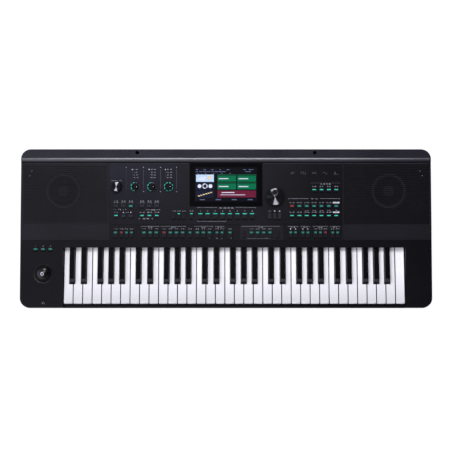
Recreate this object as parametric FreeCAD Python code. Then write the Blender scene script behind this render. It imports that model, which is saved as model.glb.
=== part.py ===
import FreeCAD, Part
import math
import os

from FreeCAD import Placement, Rotation, Vector

# Arranger keyboard with 61 full-size keys.
# Millimetres. +X is the player's right, +Y is the rear, +Z is up.
# The origin is the middle of the footprint, on the surface the feet stand on.

# Keys
OCTAVES = 5
KEY_PITCH = 23.5
KEY_GAP = 1.2
KEY_TOP = 72.0
KEY_DIP = 10.0
KEY_WALL = 2.0
KEY_LIP_RADIUS = 2.5
WHITE_SKIRT = 18.0
BLACK_SETBACK = 48.5
BLACK_WIDTH = 14.2
BLACK_TOP_WIDTH = 11.2
BLACK_RISE = 12.0
BLACK_SLOPE_RUN = 12.5
BLACK_SLOPE_RISE = 10.8
BLACK_STEEP_RUN = 4.5
BLACK_BROW_FALL = 3.2
BLACK_EDGE_RADIUS = 1.2
BLACK_SIDE_CLEARANCE = 0.7
SPREAD_OF_TWO = 2.7
SPREAD_OF_THREE = 3.5
NECK_WIDTH = 9.0
NECK_LENGTH = 28.0
TAIL_END = 6.0
PIVOT_SETBACK = 56.8
PIVOT_DROP = 12.0
PIVOT_BOSS = 5.0
ROD_RADIUS = 2.0
ROD_CLEARANCE = 0.05

# Plan of the case, front to rear, and the two end blocks beside the keys
RAIL_DEPTH = 8.7
KEY_WELL = 139.0
LEDGE_DEPTH = 18.3
BAND_DEPTH = 37.5
PANEL_DEPTH = 150.0
RIDGE_DEPTH = 7.5
STRIP_DEPTH = 29.0
LEFT_BLOCK = 111.6
RIGHT_BLOCK = 70.4
CORNER_RADIUS = 24.0
WELL_SIDE_CLEARANCE = 1.2
WELL_FRONT_CLEARANCE = 1.3
LEDGE_CLEARANCE = 2.7
LEDGE_COVER = 5.0

# Heights of the case
FOOT_HEIGHT = 6.0
PARTING = 44.0
RAIL_TOP = 58.0
BLOCK_FALL = 21.5
BAND_RISE = 7.5
PANEL_RISE = 20.9
RIDGE_RISE = 6.5
STRIP_FALL = 10.0
SIDE_DRAFT = 8.0
LOWER_INSET = 5.0
BREAK_RADIUS = 60.0
RIDGE_RADIUS = 3.0
CROWN_RADIUS = 13.0
TOP_EDGE_RADIUS = 4.0
BOTTOM_EDGE_RADIUS = 4.0
WALL = 3.0
TOP_SKIN = 4.0
SEAM = 0.3
OVERRUN = 10.0

# Plates let into the top of the case
PLATE = 2.2
PLATE_FIT = 0.3
PLATE_LIP = 4.0
BAND_FRONT_LIP = 1.5
PANEL_WIDTH = 576.0
GRILLE_SIDE = 2.5
GRILLE_OUTER = 11.5
GRILLE_END = 1.2
GRILLE_FRAME = 4.0
SLAT_PITCH = 5.0
SLAT_GAP = 2.4
SEAM_GROOVE = 0.6
GROOVE_DEPTH = 0.8
BAND_SEAM_SHARES = (-0.380, 0.0602, 0.2462)
POST_RADIUS = 3.0
POST_HEIGHT = 8.8
POST_X_SHARES = (-0.46, -0.26, 0.26, 0.46)
POST_ROW_SHARES = (0.07, 0.9)
BOARD = 1.6
BOARD_MARGIN = 8.0

# Speakers
SPEAKER_OUTWARD = 6.0
SPEAKER_ROW = 83.0
SPEAKER_HOLE = 46.0
BASKET_RADIUS = 52.0
BASKET_FLANGE = 2.0
BASKET_COLLAR = 7.0
BASKET_DEPTH = 34.0
BASKET_WALL = 1.6
MAGNET_RADIUS = 30.0
MAGNET_HEIGHT = 15.0
CONE_WALL = 0.8
CONE_DEPTH = 17.0
CONE_THROAT = 14.0
CAP_DOME_RISE = 4.0
SURROUND_WIDTH = 7.0
SURROUND_RISE = 2.5
CONE_SEAT = 0.3

# Display
LENS_WIDTH = 177.0
LENS_DEPTH = 103.4
LENS_REAR_GAP = 1.6
LENS_PROUD = 0.5
LENS_CORNER = 1.5
MODULE_MARGIN = 5.0
MODULE_HEIGHT = 6.0

# Buttons
CAP_RISE = 2.0
CAP_FIT = 0.35
FLANGE_OVERHANG = 0.6
FLANGE = 1.2
FLANGE_GAP = 0.2
STEM_INSET = 2.0
STEM_FOOT_GAP = 1.0
SQUARE_CAP = (11.0, 7.5)
REGISTER_CAP = (12.2, 14.5)
NARROW_CAP = (8.0, 14.5)
BAND_CAP = (11.0, 16.5)
BAND_NARROW_CAP = (8.2, 16.5)
BLOCK_CAP = (11.0, 7.5)
BLOCK_CAP_PITCH = 18.2
BLOCK_CAP_ROW = 145.0
ROW_ONE = 21.3
ROW_TWO = 46.2
PART_ROW = 85.3
BAND_ROW = 14.2
STYLE_SHARES = (-0.4719, -0.4398, -0.4082, -0.3601, -0.3286, -0.2970)
REGISTER_SHARES = (-0.1102, -0.0785, -0.0467, -0.0149, 0.0168, 0.0486, 0.0804, 0.1122)
REGISTER_SIDE_SHARES = (-0.2236, -0.2023, -0.1809, -0.1484)
CURSOR_SHARES = (0.1875, 0.2089, 0.2302)
VOICE_SHARES = (0.2830, 0.3146, 0.3464, 0.3780, 0.4095, 0.4411, 0.4729)
TRANSPORT_WIDE_SHARES = (-0.4747,)
TRANSPORT_NARROW_SHARES = (-0.4488, -0.4274, -0.4059)
RHYTHM_WIDE_SHARES = (-0.3523, -0.3255, -0.2990, -0.2655, -0.2389, -0.2125, -0.1861, -0.1227, -0.0970, -0.0712, 0.0172)
RHYTHM_NARROW_SHARES = (-0.1542, -0.0385, -0.0172)
TEMPO_WIDE_SHARES = (0.1092, 0.1356, 0.1620, 0.1884)
TEMPO_NARROW_SHARES = (0.0769, 0.2205)
FUNCTION_SHARES = (0.2776, 0.2986, 0.3300, 0.3514, 0.3845, 0.4056, 0.4267, 0.4580, 0.4790)

# Knobs and dial, each on the shaft of an encoder
KNOB_ROW = 93.5
KNOB_SHARES = (-0.3896, -0.3182, -0.2464)
VOLUME_SHARE = -0.469
DIAL_SHARE = 0.209
DIAL_ROW = 68.5
KNOB_GAP = 0.8
KNOB_RADIUS = 8.0
KNOB_HEIGHT = 13.0
KNOB_EDGE = 1.0
VOLUME_RADIUS = 12.5
VOLUME_HEIGHT = 14.0
DIAL_RADIUS = 23.0
DIAL_HEIGHT = 8.0
DIAL_RIM = 3.5
DISC_THICKNESS = 1.2
DISC_DIMPLE = 7.0
DISC_DIMPLE_OUT = 11.0
SHAFT_RADIUS = 3.0
SHAFT_FIT = 0.05
SHAFT_HOLE_FIT = 1.0
KNOB_ROOF = 2.5
KNOB_SKIRT_WALL = 1.8
ENCODER_SIZE = 12.0
ENCODER_GAP = 0.4

# Joystick in the left end block
JOY_ROW = 84.6
JOY_FROM_LEFT = 61.2
JOY_BEZEL_RADIUS = 24.5
JOY_WELL_RADIUS = 19.0
JOY_DISH = 4.0
JOY_HOUSING_WALL = 2.0
JOY_HOUSING_DEPTH = 25.0
JOY_FLANGE = 3.5
JOY_FIT = 0.3
BALL_RADIUS = 18.0
BALL_WALL = 2.2
BALL_DROP = 2.0
BALL_SKIRT = 2.0
GIMBAL_RADIUS = 9.3
GIMBAL_WALL = 3.0
GIMBAL_HEIGHT = 5.0
GIMBAL_PIN_RADIUS = 1.5
GIMBAL_PIN_FIT = 0.05
GIMBAL_GAP = 0.5
LUG_THICKNESS = 3.0
LUG_WIDTH = 6.5
LUG_CAP = 3.5

# Key frame, boards and stops under the keys
FRAME_SHEET = 2.5
FRAME_TOP = 38.5
FRAME_BACK = 9.0
FRAME_REAR = 16.0
FRAME_SIDE = 1.0
GUIDE_LENGTH = 8.0
GUIDE_CLEARANCE = 0.4
WHITE_GUIDE_BACK = 18.5
BLACK_GUIDE_BACK = 10.5
GUIDE_HEADROOM = 0.5
STOP_GAP = 0.3
WHITE_FELT_BACK = 4.0
WHITE_FELT_WIDTH = 9.0
BLACK_FELT_BACK = 1.5
BLACK_FELT_WIDTH = 6.0
CONTACT_FROM_PIVOT = 104.5
CONTACT_WIDTH = 20.0
CONTACT_TOP_WIDTH = 10.0
CONTACT_BOARD_MARGIN = 12.0
LUG_SHEET = 2.5
LUG_HALF = 6.0
LUG_GAP = 0.3
SPRING_SHEET = 0.6
SPRING_REACH = 8.0
SPRING_BASE = 6.0
SPRING_FINGER = 5.0
SPRING_SEAT = 8.0

# Lower case, feet and screws
FLOOR = 3.0
FOOT_RADIUS = 12.0
FOOT_TOP_RADIUS = 13.5
FOOT_X_SHARES = (-0.44, 0.0, 0.44)
FOOT_Y_SHARES = (-0.43, 0.40)
SCREW_RADIUS = 1.5
SCREW_HEAD_RADIUS = 3.0
SCREW_HEAD = 2.2
SCREW_GRIP = 8.0
SCREW_BITE = 12.0
SCREW_FIT = 0.05
SCREW_HOLE_FIT = 0.3
SCREW_HEAD_FIT = 0.5
BOSS_RADIUS = 4.0
BOSS_FOOT_RADIUS = 5.0
BOSS_IN = 13.0
CASE_BOSS_Y_SHARES = (-0.445, -0.03, 0.33)
COVER_BOSS_X_SHARES = (0.27, 0.45)
COVER_BOSS_IN = 17.0
MAIN_BOARD_WIDTH = 250.0
MAIN_BOARD_DEPTH = 105.0
MAIN_BOARD_Y_SHARE = 0.25
STANDOFF_RADIUS = 3.0
STANDOFF_HEIGHT = 6.0
STANDOFF_SHARES = (-0.45, 0.45)

# Rear connections and the headphone socket
JACK_WINDOW_WIDTH = 290.0
JACK_WINDOW_HEIGHT = 32.0
JACK_WINDOW_Z = 74.0
JACK_PLATE_MARGIN = 6.0
JACK_PLATE = 2.0
JACK_BORE = 3.25
JACK_HOLE = 4.2
JACK_COLLAR_FIT = 0.15
JACK_COLLAR_SEAT = 1.5
JACK_BODY = 14.0
JACK_LENGTH = 27.0
JACK_BORE_LENGTH = 24.0
JACK_SHARES = (-0.12, 0.0, 0.12, 0.26, 0.38)
USB_A = (13.4, 6.2)
USB_B = (10.6, 10.6)
USB_WALL = 0.5
USB_FIT = 0.15
USB_LENGTH = 16.0
USB_DEPTH = 12.0
USB_A_SHARE = -0.24
USB_B_SHARE = -0.32
INLET_BODY = 11.0
INLET_BORE = 3.0
INLET_PIN = 1.0
INLET_LENGTH = 14.0
INLET_DEPTH = 10.0
INLET_SHARE = -0.40
POWER_SHARE = -0.465
POWER_RADIUS = 4.5
POWER_FIT = 0.35
POWER_PROUD = 3.0
POWER_FLANGE = 1.5
POWER_LENGTH = 9.0
POWER_GUIDE = 6.0
PHONES_FROM_LEFT = 61.0
PHONES_Z = 26.0
REST_BORE = 4.5
REST_WALL = 2.5
REST_DEPTH = 24.0
REST_HOLE_FIT = 0.3
REST_X_SHARE = 0.2140
REST_FROM_REAR = 9.6

# Places worked out from the sizes above
WHITES = 7 * OCTAVES + 1
KEYS_WIDTH = WHITES * KEY_PITCH
WIDTH = LEFT_BLOCK + KEYS_WIDTH + RIGHT_BLOCK
DEPTH = RAIL_DEPTH + KEY_WELL + LEDGE_DEPTH + BAND_DEPTH + PANEL_DEPTH + RIDGE_DEPTH + STRIP_DEPTH
X_LEFT = -WIDTH / 2
KEYS_LEFT = X_LEFT + LEFT_BLOCK
KEYS_RIGHT = KEYS_LEFT + KEYS_WIDTH
Y_FRONT = -DEPTH / 2
Y_RAIL = Y_FRONT + RAIL_DEPTH
Y_LEDGE = Y_RAIL + KEY_WELL
Y_BAND = Y_LEDGE + LEDGE_DEPTH
Y_PANEL = Y_BAND + BAND_DEPTH
Y_RIDGE_FOOT = Y_PANEL + PANEL_DEPTH
Y_RIDGE = Y_RIDGE_FOOT + RIDGE_DEPTH
Y_REAR = Y_RIDGE + STRIP_DEPTH
Z_LEDGE = KEY_TOP + BLACK_RISE + LEDGE_CLEARANCE + TOP_SKIN
Z_BLOCK = Z_LEDGE - BLOCK_FALL
BLOCK_SLOPE = math.atan2(BLOCK_FALL, Y_LEDGE - Y_FRONT)
Z_BAND = Z_LEDGE + LEDGE_DEPTH * math.tan(BLOCK_SLOPE)
Z_PANEL = Z_BAND + BAND_RISE
Z_RIDGE_FOOT = Z_PANEL + PANEL_RISE
Z_RIDGE = Z_RIDGE_FOOT + RIDGE_RISE
Z_REAR = Z_RIDGE - STRIP_FALL
FLOOR_TOP = FOOT_HEIGHT + FLOOR
KEY_FRONT = Y_RAIL + WELL_FRONT_CLEARANCE
PIVOT_Y = Y_LEDGE + PIVOT_SETBACK
FRAME_Y = Y_RAIL + FRAME_BACK
PIVOT_Z = KEY_TOP - PIVOT_DROP
KEY_BOTTOM = KEY_TOP - WHITE_SKIRT
BLACK_FRONT = KEY_FRONT + BLACK_SETBACK
TAIL_REAR = PIVOT_Y + TAIL_END
NECK_Y = TAIL_REAR - NECK_LENGTH
DIP_ANGLE = math.asin(KEY_DIP / (PIVOT_Y - KEY_FRONT))

# Sloped faces as the start line (y, z) and the angle
BLOCK_FACE = (Y_FRONT, Z_BLOCK, BLOCK_SLOPE)
BAND_FACE = (Y_BAND, Z_BAND, math.atan2(BAND_RISE, BAND_DEPTH))
PANEL_FACE = (Y_PANEL, Z_PANEL, math.atan2(PANEL_RISE, PANEL_DEPTH))
BAND_LENGTH = math.hypot(BAND_DEPTH, BAND_RISE)
PANEL_LENGTH = math.hypot(PANEL_DEPTH, PANEL_RISE)
LENS_ROW = PANEL_LENGTH - LENS_REAR_GAP - LENS_DEPTH / 2
BOARD_TOP = -PLATE - POST_HEIGHT
SPEAKER_X = (PANEL_WIDTH / 2 + GRILLE_SIDE + WIDTH / 2 - GRILLE_OUTER) / 2 + SPEAKER_OUTWARD
PITCH_NAMES = ("c", "d", "e", "f", "g", "a", "b")
SHARP_OFFSETS = {0: -SPREAD_OF_TWO, 1: SPREAD_OF_TWO, 3: -SPREAD_OF_THREE, 4: 0.0, 5: SPREAD_OF_THREE}


def block(x0, x1, y0, y1, z0, z1):
    return Part.makeBox(x1 - x0, y1 - y0, z1 - z0, Vector(x0, y0, z0))


def rod(x, y, z, direction, radius, length):
    return Part.makeCylinder(radius, length, Vector(x, y, z), Vector(*direction))


def upright(x, y, z0, z1, radius):
    return rod(x, y, z0, (0, 0, 1), radius, z1 - z0)


def fused(shapes):
    whole = shapes[0].multiFuse(shapes[1:]) if len(shapes) > 1 else shapes[0]
    return whole.removeSplitter()


def rounded_wire(points, radii, place):
    """Closed wire through flat points with rounded corners; place turns (a, b) into a Vector."""
    corners = []
    count = len(points)
    for i in range(count):
        here = Vector(points[i][0], points[i][1], 0)
        back = Vector(points[i - 1][0], points[i - 1][1], 0).sub(here).normalize()
        ahead = Vector(points[(i + 1) % count][0], points[(i + 1) % count][1], 0).sub(here).normalize()
        if radii[i] == 0:
            corners.append((here, None, here))
            continue
        half = back.getAngle(ahead) / 2
        reach = radii[i] / math.tan(half)
        bisector = back.add(ahead).normalize()
        middle = here.add(bisector.multiply(radii[i] / math.sin(half) - radii[i]))
        corners.append((here.add(back.multiply(reach)), middle, here.add(ahead.multiply(reach))))
    edges = []
    for i in range(count):
        entry, middle, leave = corners[i]
        previous = corners[i - 1][2]
        edges.append(Part.makeLine(place(previous.x, previous.y), place(entry.x, entry.y)))
        if middle is not None:
            arc = [place(p.x, p.y) for p in (entry, middle, leave)]
            edges.append(Part.Arc(*arc).toShape())
    return Part.Wire(edges)


def side_prism(points, radii, x0, x1):
    """A side profile of (y, z) points drawn along X."""
    wire = rounded_wire(points, radii, lambda a, b: Vector(x0, a, b))
    return Part.Face(wire).extrude(Vector(x1 - x0, 0, 0))


def plan_prism(points, radii, z0, z1):
    """A plan outline of (x, y) points drawn along Z."""
    wire = rounded_wire(points, radii, lambda a, b: Vector(a, b, z0))
    return Part.Face(wire).extrude(Vector(0, 0, z1 - z0))


def turned(points):
    """A closed profile of (radius, height) points turned about the Z axis."""
    wire = Part.makePolygon([Vector(r, 0, h) for r, h in points + points[:1]])
    return Part.Face(wire).revolve(Vector(0, 0, 0), Vector(0, 0, 1), 360)


def moved(shape, x, y, z):
    copy = shape.copy()
    copy.translate(Vector(x, y, z))
    return copy


def laid(shape, face):
    """Lay a shape that was drawn flat onto one of the sloped faces."""
    y, z, angle = face
    copy = shape.copy()
    copy.rotate(Vector(0, 0, 0), Vector(1, 0, 0), math.degrees(angle))
    copy.translate(Vector(0, y, z))
    return copy


def plate_block(face, x0, x1, v0, v1, w0, w1):
    return laid(block(x0, x1, v0, v1, w0, w1), face)


# Case shells

def outline(z, half_width, inset):
    """Rounded rectangle of the case at height z."""
    x = half_width - inset
    y0 = Y_FRONT + inset
    y1 = Y_REAR - inset
    points = [(-x, y0), (x, y0), (x, y1), (-x, y1)]
    return rounded_wire(points, [CORNER_RADIUS - inset] * 4, lambda a, b: Vector(a, b, z))


def upper_volume(inset, skin, drop):
    """The case above the parting line: drafted sides under the side profile."""
    low = PARTING - drop
    high = Z_RIDGE + OVERRUN
    lean = SIDE_DRAFT / (Z_RIDGE - PARTING)
    sides = Part.makeLoft([outline(low, WIDTH / 2 + lean * drop, inset),
                           outline(high, WIDTH / 2 - lean * (high - PARTING), inset)], True, True)
    front = Y_FRONT + inset
    rear = Y_REAR - inset
    front_top = Z_BLOCK + inset * math.tan(BLOCK_SLOPE) - skin
    rear_top = Z_REAR + inset * STRIP_FALL / STRIP_DEPTH - skin
    points = [(front, low), (front, front_top), (Y_BAND, Z_BAND - skin), (Y_PANEL, Z_PANEL - skin),
              (Y_RIDGE_FOOT, Z_RIDGE_FOOT - skin), (Y_RIDGE, Z_RIDGE - skin), (rear, rear_top), (rear, low)]
    radii = [0, 0, BREAK_RADIUS, BREAK_RADIUS, RIDGE_RADIUS, CROWN_RADIUS, 0, 0]
    return side_prism(points, radii, -WIDTH, WIDTH).common(sides)


def eased(shape):
    """Round the edge that runs round the whole top of the case."""
    edges = []
    for edge in shape.Edges:
        box = edge.BoundBox
        across = box.XLength > KEYS_WIDTH
        inside = box.YMin > Y_FRONT + CORNER_RADIUS and box.YMax < Y_REAR - SEAM
        if box.ZMin > PARTING + WALL and not (across and inside):
            edges.append(edge)
    return shape.makeFillet(TOP_EDGE_RADIUS, edges)


def case_boss_spots():
    x = WIDTH / 2 - SIDE_DRAFT - BOSS_IN
    return [(side * x, share * DEPTH) for share in CASE_BOSS_Y_SHARES for side in (-1, 1)]


def cover_boss_spots():
    y = Y_REAR - COVER_BOSS_IN
    return [(side * share * WIDTH, y) for share in COVER_BOSS_X_SHARES for side in (-1, 1)]


def bossed(shell, spots, cavity):
    """Add screw bosses that hang from the skin, with their pilot holes."""
    bosses = [upright(x, y, PARTING, Z_RIDGE, BOSS_RADIUS).common(cavity) for x, y in spots]
    shell = fused([shell] + bosses)
    pilot = SCREW_BITE + SCREW_RADIUS
    for x, y in spots:
        shell = shell.cut(upright(x, y, PARTING - OVERRUN, PARTING + pilot, SCREW_RADIUS + SCREW_FIT))
    return shell


def grille_area(side):
    inner = PANEL_WIDTH / 2 + GRILLE_SIDE
    outer = WIDTH / 2 - GRILLE_OUTER
    return (inner, outer) if side > 0 else (-outer, -inner)


def upper_case(shell, cavity):
    case = shell.common(block(-WIDTH, WIDTH, -DEPTH, Y_RIDGE_FOOT - SEAM / 2, 0, Z_RIDGE + OVERRUN))
    well_left = KEYS_LEFT - WELL_SIDE_CLEARANCE
    well_right = KEYS_RIGHT + WELL_SIDE_CLEARANCE
    walls = [block(x, x + WALL, Y_FRONT + WALL, Y_BAND, PARTING, Z_BAND).common(cavity)
             for x in (well_left - WALL, well_right)]
    rail = block(well_left - WALL, well_right + WALL, Y_FRONT, Y_RAIL, RAIL_TOP - WALL, RAIL_TOP)
    case = case.cut(block(well_left, well_right, -DEPTH, Y_LEDGE, RAIL_TOP, Z_RIDGE))
    case = case.cut(block(well_left, well_right, Y_RAIL, Y_LEDGE, 0, Z_RIDGE))
    case = fused([case, rail] + walls)
    case = bossed(case, case_boss_spots(), cavity)
    half = PANEL_WIDTH / 2 + PLATE_FIT
    lip = half - PLATE_LIP
    high = Z_RIDGE
    cuts = [plate_block(PANEL_FACE, -half, half, 0, PANEL_LENGTH + OVERRUN, -PLATE, high),
            plate_block(PANEL_FACE, -lip, lip, PLATE_LIP, PANEL_LENGTH - PLATE_LIP, -OVERRUN, high),
            plate_block(BAND_FACE, -half, half, 0, BAND_LENGTH, -PLATE, high),
            plate_block(BAND_FACE, -lip, lip, BAND_FRONT_LIP, BAND_LENGTH - PLATE_LIP, -OVERRUN, high)]
    for side in (-1, 1):
        x0, x1 = grille_area(side)
        cuts.append(plate_block(PANEL_FACE, x0 - PLATE_FIT, x1 + PLATE_FIT, GRILLE_END - PLATE_FIT,
                                PANEL_LENGTH - GRILLE_END + PLATE_FIT, -PLATE, high))
        cuts.append(laid(upright(side * SPEAKER_X, SPEAKER_ROW, -OVERRUN, OVERRUN, SPEAKER_HOLE), PANEL_FACE))
        seam = block(half, WIDTH, Y_BAND - SEAM_GROOVE / 2, Y_BAND + SEAM_GROOVE / 2,
                     Z_BAND - GROOVE_DEPTH, Z_RIDGE)
        cuts.append(seam if side > 0 else seam.mirror(Vector(), Vector(1, 0, 0)))
    cuts.append(laid(upright(joystick_x(), JOY_ROW, -OVERRUN, OVERRUN, JOY_BEZEL_RADIUS + JOY_FIT), BLOCK_FACE))
    for cap in BUTTONS["joystick_buttons"]:
        cuts.append(cap_hole(cap))
    return case.cut(Part.makeCompound(cuts))


def rear_cover(shell, cavity):
    cover = shell.common(block(-WIDTH, WIDTH, Y_RIDGE_FOOT + SEAM / 2, DEPTH, 0, Z_RIDGE + OVERRUN))
    cover = bossed(cover, cover_boss_spots(), cavity)
    half = JACK_WINDOW_WIDTH / 2
    cover = cover.cut(block(-half, half, Y_REAR - WALL - OVERRUN, Y_REAR + OVERRUN,
                            JACK_WINDOW_Z - JACK_WINDOW_HEIGHT / 2, JACK_WINDOW_Z + JACK_WINDOW_HEIGHT / 2))
    for x, y in rest_spots():
        cover = cover.cut(upright(x, y, Z_REAR - OVERRUN, Z_RIDGE + OVERRUN, REST_BORE + REST_HOLE_FIT))
    return cover


def rest_spots():
    return [(side * REST_X_SHARE * WIDTH, Y_REAR - REST_FROM_REAR) for side in (-1, 1)]


def music_rest_sockets(cavity):
    bushes = []
    for x, y in rest_spots():
        bush = upright(x, y, Z_REAR - TOP_SKIN - REST_DEPTH, Z_RIDGE, REST_BORE + REST_WALL).common(cavity)
        bore = upright(x, y, Z_REAR - TOP_SKIN - REST_DEPTH + REST_WALL, Z_RIDGE, REST_BORE)
        bushes.append(bush.cut(bore))
    return Part.makeCompound(bushes)


def all_boss_spots():
    return case_boss_spots() + cover_boss_spots()


def lower_case():
    """Tray below the parting line, with screw towers and board posts."""
    low = outline(FOOT_HEIGHT, WIDTH / 2, LOWER_INSET)
    tray = Part.makeLoft([low, outline(PARTING, WIDTH / 2, 0)], True, True)
    rim = [e for e in tray.Edges if e.BoundBox.ZMax < FOOT_HEIGHT + FLOOR]
    tray = tray.makeFillet(BOTTOM_EDGE_RADIUS, rim)
    lean = LOWER_INSET / (PARTING - FOOT_HEIGHT)
    inner = Part.makeLoft([outline(FLOOR_TOP, WIDTH / 2, LOWER_INSET - lean * FLOOR + WALL),
                           outline(PARTING + OVERRUN, WIDTH / 2, WALL - lean * OVERRUN)], True, True)
    seat = PARTING - SCREW_GRIP
    towers = [upright(x, y, FOOT_HEIGHT + FLOOR / 2, PARTING, BOSS_FOOT_RADIUS) for x, y in all_boss_spots()]
    posts = [upright(x, y, FLOOR_TOP - FLOOR / 2, FLOOR_TOP + STANDOFF_HEIGHT, STANDOFF_RADIUS)
             for x, y in standoff_spots()]
    tray = fused([tray.cut(inner)] + towers + posts)
    drills = [rod(X_LEFT + PHONES_FROM_LEFT, Y_FRONT - OVERRUN, PHONES_Z, (0, 1, 0), JACK_HOLE, OVERRUN * 2)]
    for x, y in all_boss_spots():
        drills.append(upright(x, y, 0, seat, SCREW_HEAD_RADIUS + SCREW_HEAD_FIT))
        drills.append(upright(x, y, 0, PARTING + OVERRUN, SCREW_RADIUS + SCREW_HOLE_FIT))
    for drill in drills:
        tray = tray.cut(drill)
    return tray


def case_screws():
    screws = []
    seat = PARTING - SCREW_GRIP
    for x, y in all_boss_spots():
        head = upright(x, y, seat - SCREW_HEAD, seat, SCREW_HEAD_RADIUS)
        shank = upright(x, y, seat, PARTING + SCREW_BITE, SCREW_RADIUS)
        screws.append(fused([head, shank]))
    return Part.makeCompound(screws)


def rubber_feet():
    foot = turned([(0, 0), (FOOT_RADIUS, 0), (FOOT_TOP_RADIUS, FOOT_HEIGHT), (0, FOOT_HEIGHT)])
    return Part.makeCompound([moved(foot, x * WIDTH, y * DEPTH, 0) for x in FOOT_X_SHARES for y in FOOT_Y_SHARES])


# Buttons

def panel_caps(face, row, size, shares):
    return [(face, share * PANEL_WIDTH, row, size) for share in shares]


def block_caps():
    x = joystick_x()
    return [(BLOCK_FACE, x + step * BLOCK_CAP_PITCH, BLOCK_CAP_ROW, BLOCK_CAP) for step in (-1, 0, 1)]


def joystick_x():
    return X_LEFT + JOY_FROM_LEFT


BUTTONS = {
    "joystick_buttons": block_caps(),
    "style_buttons": (panel_caps(PANEL_FACE, ROW_TWO, SQUARE_CAP, STYLE_SHARES)
                      + panel_caps(PANEL_FACE, ROW_ONE, SQUARE_CAP, STYLE_SHARES)),
    "register_buttons": (panel_caps(PANEL_FACE, ROW_ONE, NARROW_CAP, REGISTER_SIDE_SHARES)
                         + panel_caps(PANEL_FACE, ROW_ONE, REGISTER_CAP, REGISTER_SHARES)),
    "cursor_buttons": panel_caps(PANEL_FACE, ROW_ONE, NARROW_CAP, CURSOR_SHARES),
    "part_buttons": panel_caps(PANEL_FACE, PART_ROW, SQUARE_CAP, VOICE_SHARES[3:]),
    "voice_buttons": (panel_caps(PANEL_FACE, ROW_TWO, SQUARE_CAP, VOICE_SHARES)
                      + panel_caps(PANEL_FACE, ROW_ONE, SQUARE_CAP, VOICE_SHARES)),
    "transport_buttons": (panel_caps(BAND_FACE, BAND_ROW, BAND_CAP, TRANSPORT_WIDE_SHARES)
                          + panel_caps(BAND_FACE, BAND_ROW, BAND_NARROW_CAP, TRANSPORT_NARROW_SHARES)),
    "rhythm_buttons": (panel_caps(BAND_FACE, BAND_ROW, BAND_CAP, RHYTHM_WIDE_SHARES)
                       + panel_caps(BAND_FACE, BAND_ROW, BAND_NARROW_CAP, RHYTHM_NARROW_SHARES)),
    "tempo_buttons": (panel_caps(BAND_FACE, BAND_ROW, BAND_CAP, TEMPO_WIDE_SHARES)
                      + panel_caps(BAND_FACE, BAND_ROW, BAND_NARROW_CAP, TEMPO_NARROW_SHARES)),
    "function_buttons": panel_caps(BAND_FACE, BAND_ROW, BAND_NARROW_CAP, FUNCTION_SHARES),
}


def cap_hole(cap):
    face, x, row, (width, depth) = cap
    a = width / 2 + CAP_FIT
    b = depth / 2 + CAP_FIT
    return plate_block(face, x - a, x + a, row - b, row + b, -OVERRUN, OVERRUN)


def button(cap, skin):
    """A cap through its hole, a flange under the skin and a stem to the switch."""
    face, x, row, (width, depth) = cap
    top = -skin - FLANGE_GAP
    a, b = width / 2, depth / 2
    flange_a = a + FLANGE_OVERHANG
    flange_b = b + FLANGE_OVERHANG
    stem_a, stem_b = a - STEM_INSET, b - STEM_INSET
    foot = BOARD_TOP + STEM_FOOT_GAP
    pieces = [block(x - a, x + a, row - b, row + b, top, CAP_RISE),
              block(x - flange_a, x + flange_a, row - flange_b, row + flange_b, top - FLANGE, top),
              block(x - stem_a, x + stem_a, row - stem_b, row + stem_b, foot, top - FLANGE)]
    return laid(fused(pieces), face)


def button_group(name):
    skin = TOP_SKIN * math.cos(BLOCK_SLOPE) if name == "joystick_buttons" else PLATE
    return Part.makeCompound([button(cap, skin) for cap in BUTTONS[name]])


# Panel plates

def knob_spots():
    spots = [("volume_knob", VOLUME_SHARE * PANEL_WIDTH, KNOB_ROW)]
    for name, share in zip(("assign_knob_left", "assign_knob_middle", "assign_knob_right"), KNOB_SHARES):
        spots.append((name, share * PANEL_WIDTH, KNOB_ROW))
    spots.append(("data_dial", DIAL_SHARE * PANEL_WIDTH, DIAL_ROW))
    return spots


def lens_area(grow):
    a = LENS_WIDTH / 2 + grow
    b = LENS_DEPTH / 2 + grow
    return -a, a, LENS_ROW - b, LENS_ROW + b


def control_panel():
    half = PANEL_WIDTH / 2
    plate = block(-half, half, PLATE_FIT, PANEL_LENGTH - PLATE_FIT, -PLATE, 0)
    posts = [upright(x * PANEL_WIDTH, y * PANEL_LENGTH, BOARD_TOP, -PLATE, POST_RADIUS)
             for x in POST_X_SHARES for y in POST_ROW_SHARES]
    plate = fused([plate] + posts)
    cuts = [block(*lens_area(PLATE_FIT), -OVERRUN, OVERRUN)]
    cuts += [upright(x, v, -OVERRUN, OVERRUN, SHAFT_RADIUS + SHAFT_HOLE_FIT) for _, x, v in knob_spots()]
    plate = laid(plate.cut(Part.makeCompound(cuts)), PANEL_FACE)
    holes = [cap_hole(cap) for caps in BUTTONS.values() for cap in caps if cap[0] == PANEL_FACE]
    return plate.cut(Part.makeCompound(holes))


def button_strip():
    half = PANEL_WIDTH / 2
    plate = block(-half, half, PLATE_FIT, BAND_LENGTH - PLATE_FIT, -PLATE, 0)
    posts = [upright(x * PANEL_WIDTH, BAND_LENGTH - BOARD_MARGIN, BOARD_TOP, -PLATE, POST_RADIUS)
             for x in POST_X_SHARES]
    plate = fused([plate] + posts)
    grooves = [block(x * PANEL_WIDTH - SEAM_GROOVE / 2, x * PANEL_WIDTH + SEAM_GROOVE / 2, 0, BAND_LENGTH,
                     -GROOVE_DEPTH, OVERRUN) for x in BAND_SEAM_SHARES]
    plate = laid(plate.cut(Part.makeCompound(grooves)), BAND_FACE)
    holes = [cap_hole(cap) for caps in BUTTONS.values() for cap in caps if cap[0] == BAND_FACE]
    return plate.cut(Part.makeCompound(holes))


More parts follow.
